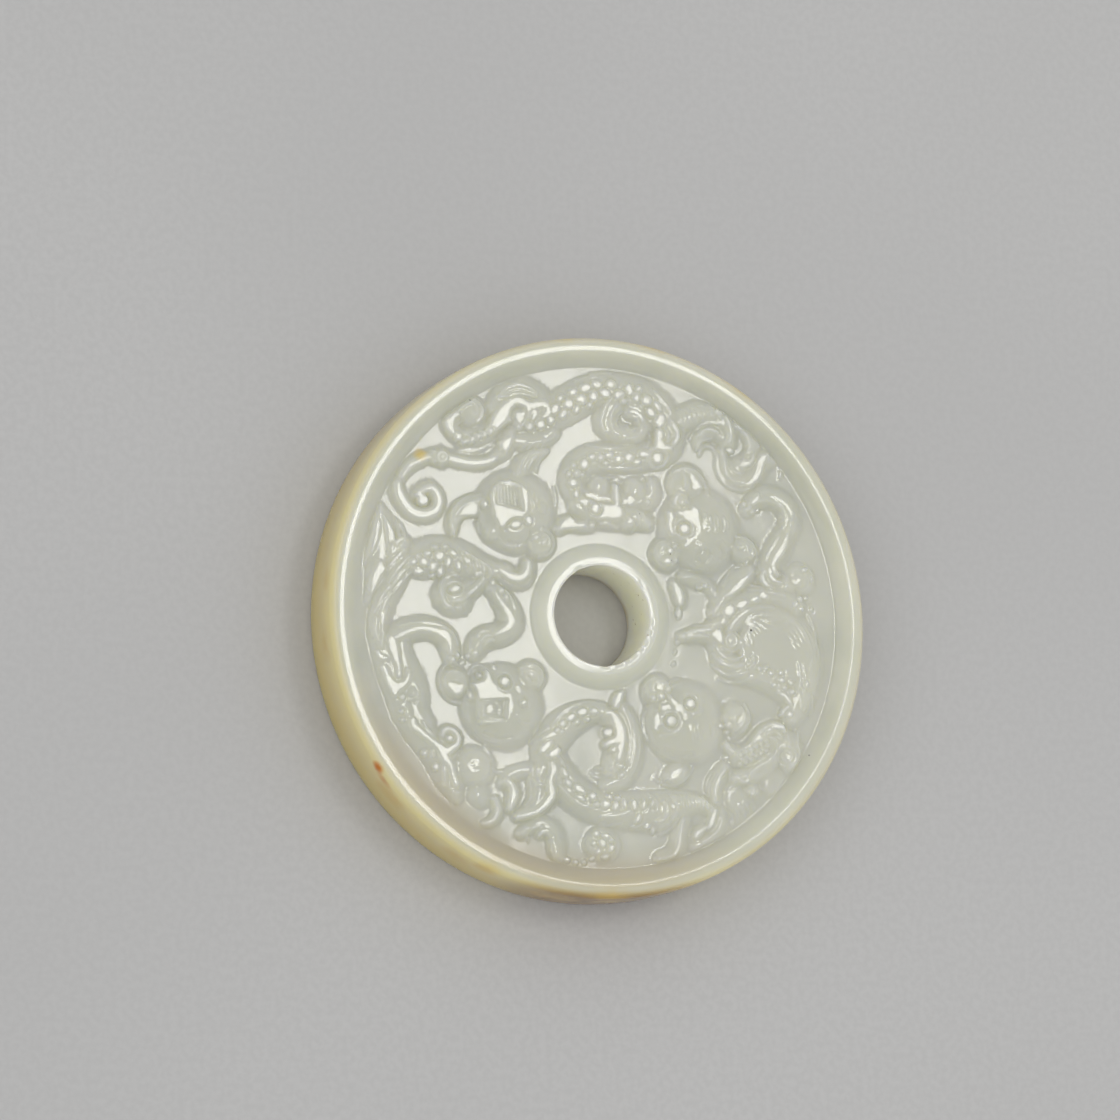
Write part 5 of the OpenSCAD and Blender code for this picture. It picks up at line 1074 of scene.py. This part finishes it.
def stone_arrays(relief):
    """Vertices (mm), quads, triangles and vertex normals of the closed stone."""
    sec_r, sec_z, kind = section_rows()
    rows, cols = len(sec_r), TURNS
    first = np.cumsum([0] + [s[1] for s in STRETCHES])
    names = [s[0] for s in STRETCHES]
    f0 = first[names.index("field")]
    f1 = f0 + STRETCHES[names.index("field")][1]
    # how fast the relief's bend changes, spread a little so that a cell beside a crease is fine too
    gy, gx = np.gradient(relief, PITCH)
    second = [*np.gradient(gx, PITCH), np.gradient(gy, PITCH, axis=0)]
    bend = np.sqrt(sum(g ** 2 for g in second))
    turn = np.sqrt(sum(d ** 2 for g in second for d in np.gradient(g, PITCH)))
    bend = turn + 3.0 * bend
    # what is nearly level shows every bend in the light it mirrors, a steep side shows little of it
    steep = np.hypot(gx, gy)
    for _ in range(3):
        for axis in (0, 1):
            steep = np.minimum(steep, np.minimum(np.roll(steep, 1, axis), np.roll(steep, -1, axis)))
    t = np.clip((steep - 0.08) / 0.2, 0, 1)
    bend = bend * (1 - 0.80 * t * t * (3 - 2 * t)) * np.where(relief < 0.05, 0.45, 1.0)
    for axis in (0, 1):
        bend = np.maximum(bend, np.maximum(np.roll(bend, 1, axis), np.roll(bend, -1, axis)))
    angle = 2 * np.pi * (np.arange(cols) + 0.5) / cols
    mid_r = COLLAR_R * (FIELD_R / COLLAR_R) ** ((np.arange(f1 - f0) + 0.5) / (f1 - f0))
    out_r = mid_r[:, None] + field_shift(angle) * np.clip((mid_r[:, None] - CLIMB_R) / (FIELD_R - CLIMB_R), 0, 1)
    bx, by = out_r * np.cos(angle), out_r * np.sin(angle)
    bent = sample(bend, bx, by)
    size = mid_r[:, None] * 2 * np.pi / cols
    floor_level = np.ceil(np.log2(0.074 / size) - 0.001).clip(0, 3)
    e0, e1 = first[names.index("hole_round")], first[names.index("collar")]
    worn = chips(angle, HOLE_R + 0 * angle, LIP_Z + 0 * angle, None) > 0.004

    def need_at(tol):
        need = np.concatenate([np.full((s[1], cols), s[2]) for s in STRETCHES])
        want = np.floor(0.5 * np.log2(tol / np.maximum(bent * size ** 2, 1e-6)))
        need[f0:f1] = np.clip(want, floor_level, 3)
        need[e0:e1, worn] = 2
        need[f1 - 2:f1] = 1
        return need

    low, high = 0.05, 6.0
    for _ in range(9):
        tol = math.sqrt(low * high)
        split = split_levels(need_at(tol))
        quads, tris = cell_faces(split, rows, cols)
        if 2 * len(quads) + len(tris) > MOST_TRIANGLES:
            low = tol
        else:
            high = tol
    split = split_levels(need_at(high))
    quads, tris = cell_faces(split, rows, cols)
    used, inverse = np.unique(np.concatenate([quads.ravel(), tris.ravel()]), return_inverse=True)
    quads = inverse[:quads.size].reshape(quads.shape)
    tris = inverse[quads.size:].reshape(tris.shape)

    def place(j, i):
        """Position of grid points; j and i may be fractions of a cell off for the slopes."""
        a = 2 * np.pi * i / cols
        r, z = sec_r[j % rows], sec_z[j % rows]
        nick = chips(a, r, z, kind[j % rows])
        r = r + nick
        z = z - 0.7 * nick
        rim = kind[j % rows] == names.index("rim_slope")
        z = z + rim * left_climb(np.cos(a), np.sin(a)) * (FIELD_R - CLIMB_R) * (CREST_IN - r) / (CREST_IN - FIELD_R)
        inside = (kind[j % rows] == names.index("field")) * np.clip((r - CLIMB_R) / (FIELD_R - CLIMB_R), 0, 1)
        r = r + field_shift(a) * (inside + rim * (CREST_IN - r) / (CREST_IN - FIELD_R))
        return np.stack([r * np.cos(a), r * np.sin(a), z], 1)

    j, i = used // cols, used % cols
    co = place(j, i)
    tj = place(j + 1, i) - place(np.where(j == f1, j, j - 1), i)
    ti = place(j, i + 1) - place(j, i - 1)
    normal = np.cross(ti, tj)
    normal /= np.linalg.norm(normal, axis=1)[:, None]
    carved = (kind[j] == names.index("field"))
    x, y = co[carved, 0], co[carved, 1]
    co[carved, 2] += sample(relief, x, y)
    gx, gy = sample(gx, x, y), sample(gy, x, y)
    n = np.stack([-gx, -gy, np.ones_like(gx)], 1)
    n /= np.linalg.norm(n, axis=1)[:, None]
    sign = 1.0 if np.median(normal[carved, 2]) > 0 else -1.0
    normal = normal * sign
    normal[carved] = n
    print("stone:", len(co), "vertices,", 2 * len(quads) + len(tris), "triangles, tolerance", round(high, 3),
          "sign", sign)
    if sign < 0:
        quads, tris = quads[:, ::-1], tris[:, ::-1]
    return co, quads, tris, normal


def make_stone(relief):
    """The stone as one closed Blender mesh, smooth-shaded along the carved surface's own normals."""
    co, quads, tris, normal = stone_arrays(relief)
    me = bpy.data.meshes.new("jade_stone")
    me.vertices.add(len(co))
    me.vertices.foreach_set("co", (co * MM).astype(np.float32).ravel())
    corners = np.concatenate([quads.ravel(), tris.ravel()]).astype(np.int32)
    starts = np.concatenate([np.arange(len(quads)) * 4, quads.size + np.arange(len(tris)) * 3]).astype(np.int32)
    me.loops.add(len(corners))
    me.loops.foreach_set("vertex_index", corners)
    me.polygons.add(len(starts))
    me.polygons.foreach_set("loop_start", starts)
    me.polygons.foreach_set("use_smooth", np.ones(len(starts), bool))
    me.update(calc_edges=True)
    me.validate()
    me.normals_split_custom_set_from_vertices(normal.astype(np.float32))
    ob = bpy.data.objects.new("jade_stone", me)
    bpy.context.scene.collection.objects.link(ob)
    return ob


# --- materials -----------------------------------------------------------------
def srgb(r, g, b):
    """A colour given in 0 to 255 as it shows, in the renderer's linear terms."""
    return tuple((c / 255 / 12.92 if c <= 10 else ((c / 255 + 0.055) / 1.055) ** 2.4) for c in (r, g, b)) + (1.0,)


class Nodes:
    """Short names for putting shader nodes together."""

    def __init__(self, name):
        self.mat = bpy.data.materials.new(name)
        self.mat.use_nodes = True
        self.tree = self.mat.node_tree
        self.tree.nodes.clear()
        self.out = self.tree.nodes.new("ShaderNodeOutputMaterial")

    def add(self, kind, **settings):
        node = self.tree.nodes.new(kind)
        for key, value in settings.items():
            setattr(node, key, value)
        return node

    def put(self, value, socket):
        if hasattr(value, "is_linked") or hasattr(value, "links"):
            self.tree.links.new(value, socket)
        else:
            socket.default_value = value

    def math(self, op, a, b=0.0, c=None, clamp=False):
        node = self.add("ShaderNodeMath", operation=op, use_clamp=clamp)
        self.put(a, node.inputs[0])
        self.put(b, node.inputs[1])
        if c is not None:
            self.put(c, node.inputs[2])
        return node.outputs[0]

    def noise(self, where, scale, detail=3.0, rough=0.5, warp=0.0):
        node = self.add("ShaderNodeTexNoise")
        self.put(where, node.inputs["Vector"])
        node.inputs["Scale"].default_value = scale
        node.inputs["Detail"].default_value = detail
        node.inputs["Roughness"].default_value = rough
        node.inputs["Distortion"].default_value = warp
        return node.outputs["Fac"]

    def ramp(self, value, low, high, a=0.0, b=1.0):
        node = self.add("ShaderNodeMapRange", interpolation_type="SMOOTHSTEP")
        self.put(value, node.inputs["Value"])
        for key, v in (("From Min", low), ("From Max", high), ("To Min", a), ("To Max", b)):
            node.inputs[key].default_value = v
        return node.outputs["Result"]

    def mix(self, share, a, b):
        node = self.add("ShaderNodeMix", data_type="RGBA")
        self.put(share, node.inputs["Factor"])
        self.put(a, node.inputs["A"])
        self.put(b, node.inputs["B"])
        return node.outputs["Result"]


# Skin stains on the stone. Columns: x, y, z (mm), reach (mm), how far it is drawn out along the rim, strength, tone
STAINS = (
    (-23.75, -15.6, 6.85, 0.75, 1.2, 1.00, "rust"),
    (-23.1, -17.0, 6.3, 0.7, 2.0, 0.55, "rust"),
    (-22.0, -18.6, 5.0, 1.8, 1.5, 0.55, "ochre"),
    (-15.3, -24.2, 5.0, 1.6, 1.6, 0.50, "ochre"),
    (-12.5, -25.4, 6.0, 1.5, 1.4, 0.60, "ochre"),
    (-5.0, -28.2, 4.5, 1.8, 2.2, 0.60, "ochre"),
    (0.0, -28.3, 7.0, 1.2, 2.6, 0.45, "ochre"),
    (0.5, -28.4, 4.8, 1.4, 2.0, 0.65, "ochre"),
    (-27.9, 3.0, 5.5, 1.3, 1.8, 0.40, "ochre"),
    (-28.2, -3.0, 5.0, 1.5, 1.8, 0.40, "ochre"),
    (-3.0, 28.0, 6.6, 1.0, 1.8, 0.30, "ochre"),
    (6.0, 27.6, 6.7, 1.2, 2.0, 0.35, "ochre"),
    (15.5, 23.6, 6.7, 1.3, 2.2, 0.35, "ochre"),
    (-18.6, 15.8, 6.7, 0.9, 1.0, 0.75, "gold"),
)
# Dark specks in the stone. Columns: x, y (mm), radius (mm), strength
SPECKS = (
    (16.05, -1.1, 0.13, 0.95), (-13.25, 21.55, 0.09, 0.6), (4.4, 10.5, 0.07, 0.5), (7.5, 6.45, 0.08, 0.6),
    (7.6, 5.8, 0.07, 0.5), (22.05, -13.7, 0.08, 0.6),
)
TONES = {"rust": srgb(196, 120, 22), "ochre": srgb(214, 184, 104), "gold": srgb(226, 200, 112)}


def jade():
    n = Nodes("jade_nephrite")
    where = n.add("ShaderNodeTexCoord").outputs["Object"]
    cloud = n.noise(where, 75.0, 3.0, 0.55, 0.6)
    veil = n.noise(where, 260.0, 4.0, 0.6, 0.3)
    grain = n.noise(where, 2600.0, 2.0, 0.5)
    colour = n.mix(n.ramp(cloud, 0.35, 0.68), srgb(204, 205, 190), srgb(212, 212, 197))
    colour = n.mix(n.ramp(veil, 0.45, 0.75, 0.0, 0.35), colour, srgb(216, 214, 200))
    # the skin of the stone shows warmer on the wall, most of all at the lower left
    sep = n.add("ShaderNodeSeparateXYZ")
    n.put(where, sep.inputs[0])
    x, y, z = sep.outputs
    radius = n.math("SQRT", n.math("ADD", n.math("MULTIPLY", x, x), n.math("MULTIPLY", y, y)))
    wall = n.ramp(radius, 0.0274, 0.0284)
    lean = n.math("ADD", n.math("MULTIPLY", x, -0.75 / 0.0285), n.math("MULTIPLY", y, -0.66 / 0.0285))
    skin = n.math("MULTIPLY", wall, n.ramp(n.math("ADD", lean, n.math("MULTIPLY", cloud, 0.5)), -0.6, 1.1, 0.15, 0.9))
    colour = n.mix(n.math("MULTIPLY", wall, 0.6), colour, srgb(190, 180, 160))
    colour = n.mix(skin, colour, n.mix(n.ramp(z, 0.0062, 0.0010), srgb(224, 212, 160), srgb(216, 193, 114)))
    # low down on the face, the outer field and the rim's slope are painted browner and darker: partly the stone's own
    # tone, partly painted shade
    down = n.math("ADD", n.math("MULTIPLY", x, -0.36 / 0.0285), n.math("MULTIPLY", y, -0.93 / 0.0285))
    down = n.math("ADD", down, n.math("MULTIPLY", n.math("SUBTRACT", cloud, 0.5), 0.3))
    face = n.math("MULTIPLY", n.ramp(radius, 0.0225, 0.0262, 0.0, 0.75), n.ramp(radius, 0.0271, 0.0279, 1.0, 0.0))
    colour = n.mix(n.math("MULTIPLY", n.ramp(down, 0.45, 0.95), face), colour, srgb(196, 184, 154))
    # at the very bottom the wall is painted dark brown: partly the stone's skin, partly painted shade where the bottom
    # lies in shadow
    under = n.math("MULTIPLY", y, -1 / 0.0285)
    colour = n.mix(n.math("MULTIPLY", n.ramp(under, 0.91, 1.0, 0.0, 0.9), wall), colour, srgb(140, 106, 56))
    # the collar is painted a little paler than the rest: painted light that makes up for the shade on its slope
    colour = n.mix(n.ramp(radius, 0.0079, 0.0072, 0.0, 0.8), colour, srgb(217, 218, 204))
    # inside the hole the stone is painted near white, painted light that brightens the shaded wall of the hole; it is a
    # little browner towards the back, with fine pits left by the drill
    bore = n.ramp(radius, 0.0054, 0.0051)
    low = n.ramp(n.math("ADD", z, n.math("MULTIPLY", veil, 0.0016)), 0.0024, 0.0006)
    colour = n.mix(bore, colour, srgb(248, 246, 226))
    colour = n.mix(n.math("MULTIPLY", bore, low), colour, srgb(212, 190, 136))
    pits = n.ramp(n.noise(where, 1900.0, 2.0, 0.6), 0.68, 0.76, 0.0, 0.7)
    colour = n.mix(n.math("MULTIPLY", bore, pits), colour, srgb(150, 122, 70))
    for px, py, pz, reach, drawn, strength, tone in STAINS:
        a = math.atan2(py, px)
        spot = n.add("ShaderNodeVectorMath", operation="SUBTRACT")
        n.put(where, spot.inputs[0])
        spot.inputs[1].default_value = (px * MM, py * MM, pz * MM)
        turned = n.add("ShaderNodeVectorRotate", rotation_type="Z_AXIS")
        n.put(spot.outputs[0], turned.inputs["Vector"])
        turned.inputs["Angle"].default_value = -a
        scaled = n.add("ShaderNodeVectorMath", operation="MULTIPLY")
        n.put(turned.outputs[0], scaled.inputs[0])
        k = 1 / (reach * MM)
        scaled.inputs[1].default_value = (k, k / drawn, k * 0.9)
        length = n.add("ShaderNodeVectorMath", operation="LENGTH")
        n.put(scaled.outputs[0], length.inputs[0])
        ragged = n.math("ADD", length.outputs["Value"], n.math("MULTIPLY", n.math("SUBTRACT", veil, 0.5), 1.5))
        colour = n.mix(n.math("MULTIPLY", n.ramp(ragged, 1.05, 0.1), strength), colour, TONES[tone])
    for px, py, r, strength in SPECKS:
        spot = n.add("ShaderNodeVectorMath", operation="DISTANCE")
        flat = n.add("ShaderNodeVectorMath", operation="MULTIPLY")
        n.put(where, flat.inputs[0])
        flat.inputs[1].default_value = (1, 1, 0)
        n.put(flat.outputs[0], spot.inputs[0])
        spot.inputs[1].default_value = (px * MM, py * MM, 0)
        colour = n.mix(n.ramp(spot.outputs["Value"], r * MM * 1.3, r * MM * 0.6, 0.0, strength), colour, srgb(70, 62, 50))
    bump = n.add("ShaderNodeBump")
    bump.inputs["Strength"].default_value = 0.25
    bump.inputs["Distance"].default_value = 0.000008
    n.put(n.math("ADD", n.math("MULTIPLY", veil, 1.5), n.math("MULTIPLY", grain, 0.35)), bump.inputs["Height"])
    shader = n.add("ShaderNodeBsdfPrincipled")
    n.put(colour, shader.inputs["Base Color"])
    # the tops of the figures and the rim are polished, the sunk field is duller
    ground = n.ramp(z, (FIELD_Z + 0.06) * MM, (FIELD_Z + 0.30) * MM, 1.0, 0.0)
    rough = n.math("ADD", n.ramp(veil, 0.3, 0.75, 0.08, 0.10), n.math("MULTIPLY", ground, 0.055))
    n.put(rough, shader.inputs["Roughness"])
    n.put(bump.outputs[0], shader.inputs["Normal"])
    shader.inputs["IOR"].default_value = 1.61
    shader.inputs["Subsurface Weight"].default_value = 1.0
    shader.inputs["Subsurface Radius"].default_value = (1.0, 0.95, 0.62)
    shader.inputs["Subsurface Scale"].default_value = 0.0045
    n.put(shader.outputs[0], n.out.inputs["Surface"])
    return n.mat


def paper():
    n = Nodes("floor_paper")
    where = n.add("ShaderNodeTexCoord").outputs["Object"]
    broad = n.noise(where, 9.0, 2.0)
    fine = n.noise(where, 1500.0, 3.0)
    shader = n.add("ShaderNodeBsdfPrincipled")
    colour = n.mix(n.ramp(broad, 0.3, 0.7), srgb(196, 195, 193), srgb(203, 202, 200))
    n.put(n.mix(n.ramp(fine, 0.3, 0.7, 0.0, 0.35), colour, srgb(188, 187, 185)), shader.inputs["Base Color"])
    shader.inputs["Roughness"].default_value = 0.85
    shader.inputs["Specular IOR Level"].default_value = 0.25
    bump = n.add("ShaderNodeBump")
    bump.inputs["Strength"].default_value = 0.2
    bump.inputs["Distance"].default_value = 0.00006
    n.put(fine, bump.inputs["Height"])
    n.put(bump.outputs[0], shader.inputs["Normal"])
    n.put(shader.outputs[0], n.out.inputs["Surface"])
    return n.mat


# --- the piece -----------------------------------------------------------------
stone = make_stone(carve())
stone.data.materials.append(jade())
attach(stone, body)
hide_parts("jade_disc")

# --- floor, light and camera ---------------------------------------------------
floor_mesh = bpy.data.meshes.new("floor")
half = 1.6
floor_mesh.from_pydata([(-half, -half, 0), (half, -half, 0), (half, half, 0), (-half, half, 0)], [], [(0, 1, 2, 3)])
floor = bpy.data.objects.new("floor", floor_mesh)
floor.location = (0, 0, -0.00002)
bpy.context.scene.collection.objects.link(floor)
floor.data.materials.append(paper())


def turn_to(ob, at, target):
    """Puts ob at a place, looking at a target along its own -Z."""
    from mathutils import Vector
    ob.location = at
    ob.rotation_mode = "QUATERNION"
    ob.rotation_quaternion = (Vector(target) - Vector(at)).to_track_quat("-Z", "Y")


def softbox(name, at, target, wide, high, radiance, shape="RECTANGLE", tint=(1, 1, 1)):
    """An area light of the given size and radiance."""
    light = bpy.data.lights.new(name, "AREA")
    light.shape = shape
    light.size, light.size_y = wide, high
    light.energy = radiance * wide * high * math.pi * (0.7854 if shape == "ELLIPSE" else 1)
    light.color = tint
    ob = bpy.data.objects.new(name, light)
    bpy.context.scene.collection.objects.link(ob)
    turn_to(ob, at, target)
    return ob


key = softbox("key_softbox", (0.0973, 0.0563, 0.3374), (0.0973, 0.0563, 0), 0.056, 0.107, 6.2, tint=(1.0, 0.985, 0.95))
key.rotation_mode = "XYZ"
key.rotation_euler = (0, 0, math.radians(-30))
softbox("fill_left", (-0.8, 0.1, 1.0), (0, 0, 0), 1.0, 1.0, 0.6)
softbox("fill_back", (0.1, 1.1, 0.8), (0, 0, 0), 0.9, 0.7, 0.25)
softbox("fill_right", (0.95, -0.3, 0.8), (0, 0, 0), 0.8, 0.8, 0.3)

world = bpy.data.worlds.new("studio")
bpy.context.scene.world = world
world.use_nodes = True
world.node_tree.nodes["Background"].inputs["Color"].default_value = (0.97, 0.98, 1.0, 1)
world.node_tree.nodes["Background"].inputs["Strength"].default_value = 0.65

# The photograph's viewing angle on the disc: 68.7 degrees above its face, from 526 mm
from mathutils import Matrix
lens = bpy.data.cameras.new("camera")
lens.lens, lens.sensor_width = 169.02, 36.0
lens.clip_start, lens.clip_end = 0.01, 20
camera = bpy.data.objects.new("camera", lens)
bpy.context.scene.collection.objects.link(camera)
right, up, back = (0.94387, -0.02632, 0.32927), (-0.02632, 0.98766, 0.15438), (-0.32927, -0.15438, 0.93153)
camera.matrix_world = Matrix((
    (right[0], up[0], back[0], -0.17745),
    (right[1], up[1], back[1], -0.075655),
    (right[2], up[2], back[2], 0.489615 + DISC_T * MM),
    (0, 0, 0, 1),
))
bpy.context.scene.camera = camera
bpy.context.scene.view_settings.view_transform = "Standard"
bpy.context.scene.view_settings.look = "None"
